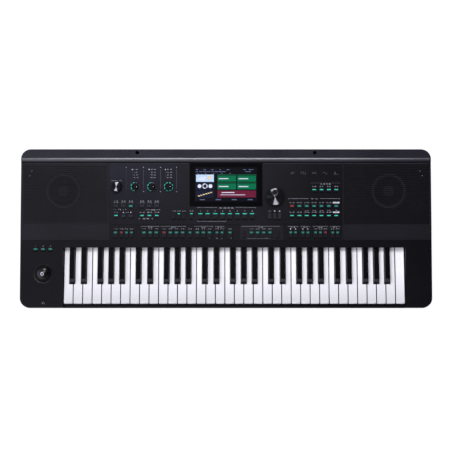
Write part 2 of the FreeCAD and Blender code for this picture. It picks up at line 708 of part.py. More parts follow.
def panel_circuit_boards():
    half = PANEL_WIDTH / 2 - BOARD_MARGIN
    upper = block(-half, half, BOARD_MARGIN, PANEL_LENGTH - BOARD_MARGIN, BOARD_TOP - BOARD, BOARD_TOP)
    x0, x1, v0, _ = lens_area(MODULE_MARGIN + PLATE_FIT)
    upper = upper.cut(block(x0, x1, v0, PANEL_LENGTH, BOARD_TOP - OVERRUN, BOARD_TOP + OVERRUN))
    lower = block(-half, half, PLATE_LIP, BAND_LENGTH - PLATE_LIP, BOARD_TOP - BOARD, BOARD_TOP)
    return Part.makeCompound([laid(upper, PANEL_FACE), laid(lower, BAND_FACE)])


def display_lens():
    x0, x1, v0, v1 = lens_area(0)
    lens = plan_prism([(x0, v0), (x1, v0), (x1, v1), (x0, v1)], [LENS_CORNER] * 4, -PLATE, LENS_PROUD)
    return laid(lens, PANEL_FACE)


def display_module():
    x0, x1, v0, _ = lens_area(MODULE_MARGIN)
    module = block(x0, x1, v0, PANEL_LENGTH - PLATE_LIP - PLATE_FIT, -PLATE - MODULE_HEIGHT, -PLATE)
    return laid(module, PANEL_FACE)


# Speakers

def speaker_grille(side):
    x0, x1 = grille_area(side)
    v0, v1 = GRILLE_END, PANEL_LENGTH - GRILLE_END
    plate = block(x0, x1, v0, v1, -PLATE, 0)
    room = v1 - v0 - 2 * GRILLE_FRAME
    count = int((room + SLAT_PITCH - SLAT_GAP) / SLAT_PITCH)
    start = v0 + GRILLE_FRAME + (room - count * SLAT_PITCH + SLAT_PITCH - SLAT_GAP) / 2
    slots = [block(x0 + GRILLE_FRAME, x1 - GRILLE_FRAME, start + i * SLAT_PITCH,
                   start + i * SLAT_PITCH + SLAT_GAP, -OVERRUN, OVERRUN) for i in range(count)]
    return laid(plate.cut(Part.makeCompound(slots)), PANEL_FACE)


def at_speakers(shape):
    seat = -TOP_SKIN * math.cos(PANEL_FACE[2])
    return Part.makeCompound([laid(moved(shape, side * SPEAKER_X, SPEAKER_ROW, seat), PANEL_FACE)
                              for side in (-1, 1)])


def speaker_drivers():
    rim = SPEAKER_HOLE - BASKET_WALL
    basket = turned([(rim, 0), (BASKET_RADIUS, 0), (BASKET_RADIUS, -BASKET_FLANGE), (SPEAKER_HOLE, -BASKET_FLANGE),
                     (SPEAKER_HOLE, -BASKET_COLLAR), (MAGNET_RADIUS, -BASKET_DEPTH), (0, -BASKET_DEPTH),
                     (0, BASKET_WALL - BASKET_DEPTH), (MAGNET_RADIUS - BASKET_WALL, BASKET_WALL - BASKET_DEPTH),
                     (rim, -BASKET_COLLAR)])
    magnet = upright(0, 0, -BASKET_DEPTH - MAGNET_HEIGHT, -BASKET_DEPTH, MAGNET_RADIUS)
    return at_speakers(Part.makeCompound([basket, magnet]))


def speaker_cones():
    """Rolled surround, straight paper cone and domed dust cap in one turned skin."""
    rim = SPEAKER_HOLE - BASKET_WALL - CONE_SEAT
    roll = rim - SURROUND_WIDTH
    crest = rim - SURROUND_WIDTH / 2
    low = -SURROUND_RISE - CONE_WALL
    skin = [(rim, low), (crest, low + SURROUND_RISE), (roll, low), (CONE_THROAT, low - CONE_DEPTH),
            (CONE_THROAT / 2, low - CONE_DEPTH + CAP_DOME_RISE * 3 / 4), (0, low - CONE_DEPTH + CAP_DOME_RISE)]
    under = [(r, h - CONE_WALL) for r, h in reversed(skin)]
    return at_speakers(turned(skin + under))


# Knobs

def knob(radius, height, edge):
    """A turned cap with a skirt wall, an inner hub and a bore for its shaft."""
    hub = SHAFT_RADIUS + KNOB_SKIRT_WALL
    roof = height - KNOB_ROOF
    bore = SHAFT_RADIUS + SHAFT_FIT
    return turned([(bore, KNOB_GAP), (hub, KNOB_GAP), (hub, roof), (radius - KNOB_SKIRT_WALL, roof),
                   (radius - KNOB_SKIRT_WALL, KNOB_GAP), (radius, KNOB_GAP), (radius, height - edge),
                   (radius - edge, height), (0, height), (0, roof), (bore, roof)])


def on_shaft(cap, height):
    foot = BOARD_TOP + ENCODER_SIZE / 2 + ENCODER_GAP
    return [cap, upright(0, 0, foot, height - KNOB_ROOF, SHAFT_RADIUS)]


def at_spot(pieces, name):
    x, v = [(x, v) for spot, x, v in knob_spots() if spot == name][0]
    return Part.makeCompound([laid(moved(piece, x, v, 0), PANEL_FACE) for piece in pieces])


def assign_knob(name):
    return at_spot(on_shaft(knob(KNOB_RADIUS, KNOB_HEIGHT, KNOB_EDGE), KNOB_HEIGHT), name)


def volume_knob():
    return at_spot(on_shaft(knob(VOLUME_RADIUS, VOLUME_HEIGHT, KNOB_EDGE), VOLUME_HEIGHT), "volume_knob")


def data_dial():
    cap = knob(DIAL_RADIUS, DIAL_HEIGHT, KNOB_EDGE)
    seat = DIAL_RADIUS - DIAL_RIM
    cap = cap.cut(upright(0, 0, DIAL_HEIGHT - DISC_THICKNESS, DIAL_HEIGHT + OVERRUN, seat))
    return at_spot(on_shaft(cap, DIAL_HEIGHT), "data_dial")


def data_dial_disc():
    seat = DIAL_RADIUS - DIAL_RIM - PLATE_FIT
    disc = upright(0, 0, DIAL_HEIGHT - DISC_THICKNESS, DIAL_HEIGHT, seat)
    ball = DISC_DIMPLE * DISC_DIMPLE / DISC_THICKNESS
    dimple = Part.makeSphere(ball, Vector(0, DISC_DIMPLE_OUT, DIAL_HEIGHT + ball - DISC_THICKNESS / 2))
    return at_spot([disc.cut(dimple)], "data_dial")


def rotary_encoders():
    half = ENCODER_SIZE / 2
    bodies = []
    for _, x, v in knob_spots():
        body = block(x - half, x + half, v - half, v + half, BOARD_TOP, BOARD_TOP + half)
        bodies.append(laid(body, PANEL_FACE))
    return Part.makeCompound(bodies)


# Joystick

def at_joystick(shape):
    return laid(moved(shape, joystick_x(), JOY_ROW, 0), BLOCK_FACE)


def joystick_housing():
    """Dished bezel, round well and two lugs that carry the gimbal's front and rear pins."""
    well = JOY_WELL_RADIUS
    outer = well + JOY_HOUSING_WALL
    skin = TOP_SKIN * math.cos(BLOCK_SLOPE)
    brim = JOY_BEZEL_RADIUS + JOY_FLANGE
    floor = -JOY_HOUSING_DEPTH
    cup = turned([(well, -JOY_DISH), (JOY_BEZEL_RADIUS, 0), (JOY_BEZEL_RADIUS, -skin), (brim, -skin),
                  (brim, -skin - JOY_HOUSING_WALL), (outer, -skin - JOY_HOUSING_WALL),
                  (outer, floor - JOY_HOUSING_WALL), (0, floor - JOY_HOUSING_WALL), (0, floor), (well, floor)])
    inner = GIMBAL_RADIUS + GIMBAL_GAP
    lugs = []
    for side in (-1, 1):
        y0, y1 = sorted((side * inner, side * (inner + LUG_THICKNESS)))
        lug = block(-LUG_WIDTH / 2, LUG_WIDTH / 2, y0, y1, floor, LUG_CAP - BALL_DROP)
        hole = rod(0, y0 - OVERRUN, -BALL_DROP, (0, 1, 0), GIMBAL_PIN_RADIUS + GIMBAL_PIN_FIT, OVERRUN * 3)
        lugs.append(lug.cut(hole))
    return at_joystick(fused([cup] + lugs))


def joystick_gimbal():
    ring = turned([(GIMBAL_RADIUS - GIMBAL_WALL, -GIMBAL_HEIGHT / 2), (GIMBAL_RADIUS, -GIMBAL_HEIGHT / 2),
                   (GIMBAL_RADIUS, GIMBAL_HEIGHT / 2), (GIMBAL_RADIUS - GIMBAL_WALL, GIMBAL_HEIGHT / 2)])
    inside = GIMBAL_RADIUS - GIMBAL_WALL / 2
    reach = GIMBAL_WALL / 2 + GIMBAL_GAP + LUG_THICKNESS
    pins = [rod(inside * dx, inside * dy, 0, (dx, dy, 0), GIMBAL_PIN_RADIUS, reach)
            for dx, dy in ((1, 0), (-1, 0), (0, 1), (0, -1))]
    return at_joystick(moved(fused([ring] + pins), 0, 0, -BALL_DROP))


def joystick_stick():
    """Hollow dome with two ears inside that ride on the gimbal's side pins."""
    dome = Part.makeSphere(BALL_RADIUS).cut(Part.makeSphere(BALL_RADIUS - BALL_WALL))
    dome = dome.common(upright(0, 0, -BALL_SKIRT, BALL_RADIUS + OVERRUN, BALL_RADIUS + OVERRUN))
    inner = GIMBAL_RADIUS + GIMBAL_GAP
    room = Part.makeSphere(BALL_RADIUS - BALL_WALL / 2)
    ears = []
    for side in (-1, 1):
        x0, x1 = sorted((side * inner, side * (inner + LUG_THICKNESS)))
        ear = block(x0, x1, -LUG_WIDTH / 2, LUG_WIDTH / 2, -LUG_CAP, BALL_RADIUS).common(room)
        hole = rod(x0 - OVERRUN, 0, 0, (1, 0, 0), GIMBAL_PIN_RADIUS + GIMBAL_PIN_FIT, OVERRUN * 3)
        ears.append(ear.cut(hole))
    return at_joystick(moved(fused([dome] + ears), 0, 0, -BALL_DROP))


# Keys

def sharp_centre(index):
    """X of the black key between white keys index and index + 1, or None."""
    offset = SHARP_OFFSETS.get(index % 7)
    if offset is None or not 0 <= index < WHITES - 1:
        return None
    return KEYS_LEFT + (index + 1) * KEY_PITCH + offset


def white_span(index):
    """Left and right of the head and of the tail between the black keys."""
    left = KEYS_LEFT + index * KEY_PITCH + KEY_GAP / 2
    right = left + KEY_PITCH - KEY_GAP
    room = BLACK_WIDTH / 2 + BLACK_SIDE_CLEARANCE
    before, after = sharp_centre(index - 1), sharp_centre(index)
    tail_left = left if before is None else before + room
    tail_right = right if after is None else after - room
    return left, right, tail_left, tail_right


def pivot_bore(x0, x1):
    return rod(x0 - OVERRUN, PIVOT_Y, PIVOT_Z, (1, 0, 0), ROD_RADIUS + ROD_CLEARANCE, x1 - x0 + 2 * OVERRUN)


def necked(key, centre):
    """Narrow the tail on both sides so that the frame's lugs pass between keys."""
    wide = KEY_PITCH
    cuts = [block(centre - wide, centre - NECK_WIDTH / 2, NECK_Y, TAIL_REAR + OVERRUN, 0, Z_RIDGE),
            block(centre + NECK_WIDTH / 2, centre + wide, NECK_Y, TAIL_REAR + OVERRUN, 0, Z_RIDGE)]
    return key.cut(Part.makeCompound(cuts))


def white_key(index):
    left, right, tail_left, tail_right = white_span(index)
    centre = (tail_left + tail_right) / 2
    notch = BLACK_FRONT - BLACK_SIDE_CLEARANCE
    profile = [(KEY_FRONT, KEY_BOTTOM), (TAIL_REAR, KEY_BOTTOM), (TAIL_REAR, KEY_TOP), (KEY_FRONT, KEY_TOP)]
    key = side_prism(profile, [0, 0, 0, KEY_LIP_RADIUS], left, right)
    for x0, x1 in ((left, tail_left), (tail_right, right)):
        if x1 > x0:
            key = key.cut(block(x0 - OVERRUN, x1, notch, TAIL_REAR + OVERRUN, 0, Z_RIDGE) if x0 == left
                          else block(x0, x1 + OVERRUN, notch, TAIL_REAR + OVERRUN, 0, Z_RIDGE))
    roof = KEY_TOP - KEY_WALL
    head = block(left + KEY_WALL, right - KEY_WALL, KEY_FRONT + KEY_WALL, notch - KEY_WALL, 0, roof)
    tail = block(tail_left + KEY_WALL, tail_right - KEY_WALL, KEY_FRONT + KEY_WALL, NECK_Y - KEY_WALL, 0, roof)
    key = key.cut(fused([head, tail]))
    key = necked(key, centre)
    return key.cut(pivot_bore(left, right))


def black_key(index):
    centre = sharp_centre(index)
    half, top_half = BLACK_WIDTH / 2, BLACK_TOP_WIDTH / 2
    top = KEY_TOP + BLACK_RISE
    cover = Y_LEDGE + LEDGE_COVER
    profile = [(BLACK_FRONT, KEY_BOTTOM), (TAIL_REAR, KEY_BOTTOM), (TAIL_REAR, KEY_TOP),
               (cover + BLACK_RISE, KEY_TOP), (cover, top), (BLACK_FRONT + BLACK_SLOPE_RUN, top),
               (BLACK_FRONT + BLACK_STEEP_RUN, top - BLACK_BROW_FALL), (BLACK_FRONT, top - BLACK_SLOPE_RISE)]
    rounds = [0, 0, 0, 0, 0, BLACK_EDGE_RADIUS, BLACK_EDGE_RADIUS, 0]
    side = side_prism(profile, rounds, centre - half, centre + half)
    section = [(centre - half, KEY_BOTTOM), (centre + half, KEY_BOTTOM), (centre + half, KEY_TOP),
               (centre + top_half, top), (centre - top_half, top), (centre - half, KEY_TOP)]
    radii = [0, 0, 0, BLACK_EDGE_RADIUS, BLACK_EDGE_RADIUS, 0]
    wire = rounded_wire(section, radii, lambda a, b: Vector(a, BLACK_FRONT - OVERRUN, b))
    key = Part.Face(wire).extrude(Vector(0, TAIL_REAR - BLACK_FRONT + 2 * OVERRUN, 0)).common(side)
    hollow = block(centre - half + KEY_WALL, centre + half - KEY_WALL, BLACK_FRONT + KEY_WALL, NECK_Y - KEY_WALL,
                   0, KEY_TOP - KEY_WALL)
    key = necked(key.cut(hollow), centre)
    return key.cut(pivot_bore(centre - half, centre + half))


def white_group(step):
    return Part.makeCompound([white_key(i) for i in range(step, WHITES, 7)])


def black_group(step):
    return Part.makeCompound([black_key(i) for i in range(step, WHITES - 1, 7)])


def dropped(y, z):
    """Height of a point of a key at (y, z) once the key is fully pressed."""
    return PIVOT_Z - (PIVOT_Y - y) * math.sin(DIP_ANGLE) + (z - PIVOT_Z) * math.cos(DIP_ANGLE)


# Frame under the keys

def sharps():
    return [i for i in range(WHITES - 1) if sharp_centre(i) is not None]


def key_centres():
    whites = [sum(white_span(i)[2:]) / 2 for i in range(WHITES)]
    return whites + [sharp_centre(i) for i in sharps()]


def key_frame():
    """Bent channel with a guide blade inside every key and lugs that hold the pivot rod."""
    x0, x1 = KEYS_LEFT - FRAME_SIDE, KEYS_RIGHT + FRAME_SIDE
    front, rear = FRAME_Y, PIVOT_Y + FRAME_REAR
    sheet = FRAME_SHEET
    section = [(front, FLOOR_TOP), (front + sheet, FLOOR_TOP), (front + sheet, FRAME_TOP - sheet),
               (rear - sheet, FRAME_TOP - sheet), (rear - sheet, FLOOR_TOP), (rear, FLOOR_TOP),
               (rear, FRAME_TOP), (front, FRAME_TOP)]
    pieces = [side_prism(section, [0] * 8, x0, x1)]
    y = KEY_FRONT + WHITE_GUIDE_BACK
    top = dropped(y, KEY_TOP - KEY_WALL) - GUIDE_HEADROOM
    for i in range(WHITES):
        left, right, _, _ = white_span(i)
        inset = KEY_WALL + GUIDE_CLEARANCE
        pieces.append(block(left + inset, right - inset, y, y + GUIDE_LENGTH, FRAME_TOP, top))
    y = BLACK_FRONT + BLACK_GUIDE_BACK
    top = dropped(y, KEY_TOP - KEY_WALL) - GUIDE_HEADROOM
    half = BLACK_WIDTH / 2 - KEY_WALL - GUIDE_CLEARANCE
    for i in sharps():
        x = sharp_centre(i)
        pieces.append(block(x - half, x + half, y, y + GUIDE_LENGTH, FRAME_TOP, top))
    hole = pivot_bore(KEYS_LEFT, KEYS_RIGHT)
    for x in lug_places():
        lug = block(x - LUG_SHEET / 2, x + LUG_SHEET / 2, PIVOT_Y - LUG_HALF, PIVOT_Y + LUG_HALF, FRAME_TOP,
                    PIVOT_Z + LUG_HALF)
        pieces.append(lug.cut(hole))
    return fused(pieces)


def lug_places():
    inner = [KEYS_LEFT + 7 * i * KEY_PITCH for i in range(1, OCTAVES + 1)]
    reach = NECK_WIDTH / 2 + LUG_GAP + LUG_SHEET / 2
    first, last = sum(white_span(0)[2:]) / 2, sum(white_span(WHITES - 1)[2:]) / 2
    return [first - reach] + inner + [last + reach]


def key_pivot_rod():
    return rod(KEYS_LEFT - FRAME_SIDE, PIVOT_Y, PIVOT_Z, (1, 0, 0), ROD_RADIUS, KEYS_WIDTH + 2 * FRAME_SIDE)


def frame_strip(y0, y1, z0, z1):
    return block(KEYS_LEFT - FRAME_SIDE, KEYS_RIGHT + FRAME_SIDE, y0, y1, z0, z1)


def key_stop_felts():
    strips = []
    for y, width in ((KEY_FRONT + WHITE_FELT_BACK, WHITE_FELT_WIDTH), (BLACK_FRONT + BLACK_FELT_BACK, BLACK_FELT_WIDTH)):
        y = max(y, FRAME_Y)
        strips.append(frame_strip(y, y + width, FRAME_TOP, dropped(y, KEY_BOTTOM) - STOP_GAP))
    return Part.makeCompound(strips)


def key_contact_board():
    y = PIVOT_Y - CONTACT_FROM_PIVOT
    return frame_strip(y - CONTACT_BOARD_MARGIN, y + CONTACT_WIDTH + CONTACT_BOARD_MARGIN, FRAME_TOP, FRAME_TOP + BOARD)


def key_contact_rubber():
    y = PIVOT_Y - CONTACT_FROM_PIVOT
    ease = (CONTACT_WIDTH - CONTACT_TOP_WIDTH) / 2
    low, top = FRAME_TOP + BOARD, dropped(y, KEY_BOTTOM) - STOP_GAP
    points = [(y, low), (y + CONTACT_WIDTH, low), (y + CONTACT_WIDTH - ease, top), (y + ease, top)]
    return side_prism(points, [0] * 4, KEYS_LEFT - FRAME_SIDE, KEYS_RIGHT + FRAME_SIDE)


def key_return_springs():
    """Leaf comb: a strip on the frame with one raised finger under each key's pivot boss."""
    tip_y = PIVOT_Y - SPRING_REACH
    tip_z = dropped(tip_y, KEY_BOTTOM) - STOP_GAP
    base = PIVOT_Y + SPRING_SEAT
    sheet = SPRING_SHEET
    strip = frame_strip(base, base + SPRING_BASE, FRAME_TOP, FRAME_TOP + sheet)
    points = [(base, FRAME_TOP), (base + sheet, FRAME_TOP), (base + sheet, FRAME_TOP + sheet),
              (tip_y + sheet, tip_z), (tip_y, tip_z), (tip_y, tip_z - sheet)]
    half = SPRING_FINGER / 2
    fingers = [side_prism(points, [0] * 6, x - half, x + half) for x in key_centres()]
    return fused([strip] + fingers)


# Boards, jacks and sockets

def standoff_spots():
    y = MAIN_BOARD_Y_SHARE * DEPTH
    return [(a * MAIN_BOARD_WIDTH, y + b * MAIN_BOARD_DEPTH) for a in STANDOFF_SHARES for b in STANDOFF_SHARES]


def main_circuit_board():
    y = MAIN_BOARD_Y_SHARE * DEPTH
    z = FLOOR_TOP + STANDOFF_HEIGHT
    return block(-MAIN_BOARD_WIDTH / 2, MAIN_BOARD_WIDTH / 2, y - MAIN_BOARD_DEPTH / 2, y + MAIN_BOARD_DEPTH / 2,
                 z, z + BOARD)


PLATE_FACE = Y_REAR - WALL - JACK_PLATE


def jack_plate():
    a = JACK_WINDOW_WIDTH / 2 + JACK_PLATE_MARGIN
    b = JACK_WINDOW_HEIGHT / 2 + JACK_PLATE_MARGIN
    plate = block(-a, a, PLATE_FACE, Y_REAR - WALL, JACK_WINDOW_Z - b, JACK_WINDOW_Z + b)
    cuts = [rod(x, PLATE_FACE - OVERRUN, JACK_WINDOW_Z, (0, 1, 0), JACK_HOLE, OVERRUN * 2) for x in jack_spots()]
    for share, (width, height) in ((USB_A_SHARE, USB_A), (USB_B_SHARE, USB_B)):
        x = share * JACK_WINDOW_WIDTH
        a, b = width / 2 + USB_FIT, height / 2 + USB_FIT
        cuts.append(block(x - a, x + a, PLATE_FACE - OVERRUN, Y_REAR, JACK_WINDOW_Z - b, JACK_WINDOW_Z + b))
    for share, radius in ((INLET_SHARE, INLET_BORE), (POWER_SHARE, POWER_RADIUS + POWER_FIT)):
        x = share * JACK_WINDOW_WIDTH
        cuts.append(rod(x, PLATE_FACE - OVERRUN, JACK_WINDOW_Z, (0, 1, 0), radius, OVERRUN * 2))
    return plate.cut(Part.makeCompound(cuts))


def jack_spots():
    return [share * JACK_WINDOW_WIDTH for share in JACK_SHARES]


def jack(x, face, z, inward, wall):
    """Phone socket: a body behind the wall, a collar through it, and one bore along Y."""
    half = JACK_BODY / 2
    y0, y1 = sorted((face, face + inward * JACK_LENGTH))
    body = block(x - half, x + half, y0, y1, z - half, z + half)
    mouth = face - inward * wall
    collar = rod(x, mouth, z, (0, inward, 0), JACK_HOLE - JACK_COLLAR_FIT, wall + JACK_COLLAR_SEAT)
    bore = rod(x, mouth, z, (0, inward, 0), JACK_BORE, wall + JACK_BORE_LENGTH)
    return fused([body, collar]).cut(bore)


def jack_sockets():
    return Part.makeCompound([jack(x, PLATE_FACE, JACK_WINDOW_Z, -1, JACK_PLATE) for x in jack_spots()])


def headphone_socket():
    lean = LOWER_INSET / (PARTING - FOOT_HEIGHT)
    inner = Y_FRONT + WALL + lean * (PARTING - PHONES_Z + JACK_BODY / 2) + SEAM
    return jack(X_LEFT + PHONES_FROM_LEFT, inner, PHONES_Z, 1, WALL)


def usb_sockets():
    """Sheet shells through the plate, open at the rear, with a block that closes them inside."""
    shells = []
    mouth = PLATE_FACE + JACK_PLATE
    for share, (width, height) in ((USB_A_SHARE, USB_A), (USB_B_SHARE, USB_B)):
        x = share * JACK_WINDOW_WIDTH
        a, b = width / 2, height / 2
        body = block(x - a, x + a, PLATE_FACE - USB_LENGTH, mouth, JACK_WINDOW_Z - b, JACK_WINDOW_Z + b)
        a, b = a - USB_WALL, b - USB_WALL
        room = block(x - a, x + a, PLATE_FACE - USB_DEPTH, mouth, JACK_WINDOW_Z - b, JACK_WINDOW_Z + b)
        shells.append(body.cut(room))
    return Part.makeCompound(shells)


def power_inlet():
    x = INLET_SHARE * JACK_WINDOW_WIDTH
    half = INLET_BODY / 2
    body = block(x - half, x + half, PLATE_FACE - INLET_LENGTH, PLATE_FACE, JACK_WINDOW_Z - half, JACK_WINDOW_Z + half)
    body = body.cut(rod(x, PLATE_FACE, JACK_WINDOW_Z, (0, -1, 0), INLET_BORE, INLET_DEPTH))
    pin = rod(x, PLATE_FACE, JACK_WINDOW_Z, (0, -1, 0), INLET_PIN, INLET_LENGTH)
    return fused([body, pin])


def power_button():
    x = POWER_SHARE * JACK_WINDOW_WIDTH
    cap = rod(x, PLATE_FACE - POWER_LENGTH, JACK_WINDOW_Z, (0, 1, 0), POWER_RADIUS,
              POWER_LENGTH + JACK_PLATE + POWER_PROUD)
    flange = rod(x, PLATE_FACE - FLANGE_GAP, JACK_WINDOW_Z, (0, -1, 0), POWER_RADIUS + POWER_FLANGE, FLANGE)
    return fused([cap, flange])


def save(name, shape):
    shape.exportStep(os.path.join("parts", name + ".step"))


def main():
    os.makedirs("parts", exist_ok=True)
    outer = eased(upper_volume(0, 0, 0))
    cavity = upper_volume(WALL, TOP_SKIN, OVERRUN)
    shell = outer.cut(cavity)
    save("upper_case", upper_case(shell, cavity))
    save("rear_cover", rear_cover(shell, cavity))
    save("music_rest_sockets", music_rest_sockets(cavity))
    save("lower_case", lower_case())
    save("case_screws", case_screws())
    save("rubber_feet", rubber_feet())
    save("control_panel", control_panel())
    save("button_strip", button_strip())
    save("panel_circuit_boards", panel_circuit_boards())
    save("display_lens", display_lens())
    save("display_module", display_module())
    save("left_speaker_grille", speaker_grille(-1))
    save("right_speaker_grille", speaker_grille(1))
    save("speaker_drivers", speaker_drivers())
    save("speaker_cones", speaker_cones())
    for name in BUTTONS:
        save(name, button_group(name))
    for name in ("assign_knob_left", "assign_knob_middle", "assign_knob_right"):
        save(name, assign_knob(name))
    save("volume_knob", volume_knob())
    save("data_dial", data_dial())
    save("data_dial_disc", data_dial_disc())
    save("rotary_encoders", rotary_encoders())
    save("joystick_housing", joystick_housing())
    save("joystick_gimbal", joystick_gimbal())
    save("joystick_stick", joystick_stick())
    for step, name in enumerate(PITCH_NAMES):
        save("white_keys_" + name, white_group(step))
    for step in SHARP_OFFSETS:
        save("black_keys_" + PITCH_NAMES[step] + "_sharp", black_group(step))
    save("key_frame", key_frame())
    save("key_pivot_rod", key_pivot_rod())
    save("key_stop_felts", key_stop_felts())
    save("key_contact_board", key_contact_board())
    save("key_contact_rubber", key_contact_rubber())
    save("key_return_springs", key_return_springs())
    save("main_circuit_board", main_circuit_board())
    save("jack_plate", jack_plate())
    save("jack_sockets", jack_sockets())
    save("headphone_socket", headphone_socket())
    save("usb_sockets", usb_sockets())
    save("power_inlet", power_inlet())
    save("power_button", power_button())


main()
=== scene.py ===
# %% [markdown]
# # A 61-key arranger keyboard, dressed for its picture
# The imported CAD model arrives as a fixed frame: every key, cap, knob and shell is already in its place.
# This lesson gives that frame its finishes, then adds the small things that make it look finished and
# powered up: lit windows, printed marks, a screen picture, spun metal caps, light rings and screws.
# Everything is in metres, and each added piece rides on one CAD body.

# %% Load the frame
import math

import bmesh
import bpy
from mathutils import Matrix, Vector


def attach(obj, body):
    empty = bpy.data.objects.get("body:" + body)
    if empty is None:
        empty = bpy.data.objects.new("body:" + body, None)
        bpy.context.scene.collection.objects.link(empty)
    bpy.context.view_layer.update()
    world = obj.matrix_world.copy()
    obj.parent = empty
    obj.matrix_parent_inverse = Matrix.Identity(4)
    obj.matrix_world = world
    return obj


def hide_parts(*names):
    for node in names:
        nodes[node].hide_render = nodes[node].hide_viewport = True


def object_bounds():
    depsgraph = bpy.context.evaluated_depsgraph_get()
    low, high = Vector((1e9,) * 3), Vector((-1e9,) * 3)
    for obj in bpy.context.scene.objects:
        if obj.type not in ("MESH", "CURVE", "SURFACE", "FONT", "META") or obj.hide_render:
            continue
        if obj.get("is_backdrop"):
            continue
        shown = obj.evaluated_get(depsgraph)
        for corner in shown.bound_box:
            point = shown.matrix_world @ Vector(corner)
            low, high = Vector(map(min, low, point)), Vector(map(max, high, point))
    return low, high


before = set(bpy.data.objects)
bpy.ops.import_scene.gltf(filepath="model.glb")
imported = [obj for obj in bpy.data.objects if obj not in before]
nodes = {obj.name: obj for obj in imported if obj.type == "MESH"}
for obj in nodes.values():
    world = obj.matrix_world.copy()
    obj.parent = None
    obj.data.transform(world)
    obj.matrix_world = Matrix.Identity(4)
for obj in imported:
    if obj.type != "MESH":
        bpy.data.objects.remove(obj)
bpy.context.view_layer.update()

MM = 0.001
CASE = "case"

# %% [markdown]
# ## The camera
# The picture is taken from almost straight above, a little towards the player, with a long lens.
# The focal length is worked out in pixels of a square picture, so a lens in millimetres follows from
# the sensor width. The camera comes first because every later choice is seen through it.

# %% Camera
PICTURE_SIDE = 450
FOCAL_PIXELS = 1034.9
SENSOR = 36.0
VIEW_ELEVATION = math.radians(82.5)
VIEW_DISTANCE = 2.6
AIM = Vector((-0.0025, 0.01275, 0.06))

lens = bpy.data.cameras.new("picture_camera")
lens.sensor_width = SENSOR
lens.lens = SENSOR * FOCAL_PIXELS / PICTURE_SIDE
camera = bpy.data.objects.new("picture_camera", lens)
bpy.context.scene.collection.objects.link(camera)
towards = Vector((0.0, -math.cos(VIEW_ELEVATION), math.sin(VIEW_ELEVATION)))
camera.location = AIM + towards * VIEW_DISTANCE
camera.rotation_euler = (math.pi / 2 - VIEW_ELEVATION, 0.0, 0.0)
bpy.context.scene.camera = camera
bpy.context.scene.view_settings.view_transform = "Standard"
print("lens in mm:", round(lens.lens, 2))

# %% [markdown]
# ## Node helpers
# Materials and geometry trees are both graphs, so one small helper serves them all: it adds a node,
# sets its options, and fills each named socket with either a value or a link. The sockets of some nodes
# share one name, as on Math, so a second helper fills those by their order.

# %% Helpers for graphs
def fill(tree, socket, value):
    if isinstance(value, bpy.types.NodeSocket):
        tree.links.new(value, socket)
    else:
        socket.default_value = value


def set_sockets(tree, node, **sockets):
    for key, value in sockets.items():
        fill(tree, node.inputs[key.replace("_", " ")], value)


def add_node(tree, kind, options=None, **sockets):
    made = tree.nodes.new(kind)
    for key, value in (options or {}).items():
        setattr(made, key, value)
    set_sockets(tree, made, **sockets)
    return made


def in_order(tree, kind, options, *values):
    made = add_node(tree, kind, options)
    for socket, value in zip(made.inputs, values):
        fill(tree, socket, value)
    return made.outputs[0]


def calculate(tree, operation, first, second, clamp=False):
    return in_order(tree, "ShaderNodeMath", {"operation": operation, "use_clamp": clamp}, first, second)


def mix_shaders(tree, factor, first, second):
    return in_order(tree, "ShaderNodeMixShader", None, factor, first, second)


print("graph helpers ready")

# %% Helpers for finishes
def two_tone(tree, factor, dark, light, low=0.3, high=0.7):
    ramp = add_node(tree, "ShaderNodeValToRGB", Fac=factor)
    first, last = ramp.color_ramp.elements
    first.position, last.position = low, high
    first.color = (*dark, 1.0)
    last.color = (*light, 1.0)
    return ramp.outputs["Color"]


def shade(colour, share):
    return tuple(min(1.0, c * share) for c in colour)


def new_finish(name):
    material = bpy.data.materials.new(name)
    material.use_nodes = True
    tree = material.node_tree
    spot = add_node(tree, "ShaderNodeTexCoord").outputs["Object"]
    return material, tree, tree.nodes["Principled BSDF"], spot


def noise(tree, spot, size, detail=2.0):
    return add_node(tree, "ShaderNodeTexNoise", Vector=spot, Scale=1.0 / size, Detail=detail).outputs[0]


def spread_value(tree, factor, low, high):
    return add_node(tree, "ShaderNodeMapRange", Value=factor, To_Min=low, To_Max=high).outputs[0]


def share_between(tree, value, low, high):
    return add_node(tree, "ShaderNodeMapRange", Value=value, From_Min=low, From_Max=high).outputs[0]


def zone(tree, spot, axis, start, end):
    place = add_node(tree, "ShaderNodeSeparateXYZ", Vector=spot).outputs[axis]
    return share_between(tree, place, start, end)


def blend(tree, factor, first, second, way="MIX"):
    mix = add_node(tree, "ShaderNodeMixRGB", {"blend_type": way}, Fac=factor, Color1=first, Color2=second)
    return mix.outputs["Color"]


def raise_grain(tree, shader, height, depth):
    bump = add_node(tree, "ShaderNodeBump", Height=height, Distance=depth, Strength=1.0)
    set_sockets(tree, shader, Normal=bump.outputs["Normal"])


print("finish helpers ready")

# %% [markdown]
# ## White studio
# The object stands on a white sweep. The floor shows white to the camera and to mirrors, and still
# takes a little real light, so the soft shadow under the case stays. It is clear from below, so that the
# underside can be looked at. The room is dim with a bright window side on the left, because a black panel
# seen from above mirrors what hangs over it, and only the camera sees that room as white. The main lamp is
# over the rear edge: it draws the bright line along the ridge and the shadow of the ledge on the keys.
# A weaker one fills from the front, and a small one low behind the case gives glints and no other light.

# %% Floor
FLOOR_SIDE = 80.0
FLOOR_GLOW = 0.95
FLOOR_BOUNCE = 0.12
FLOOR_ALBEDO = 0.75

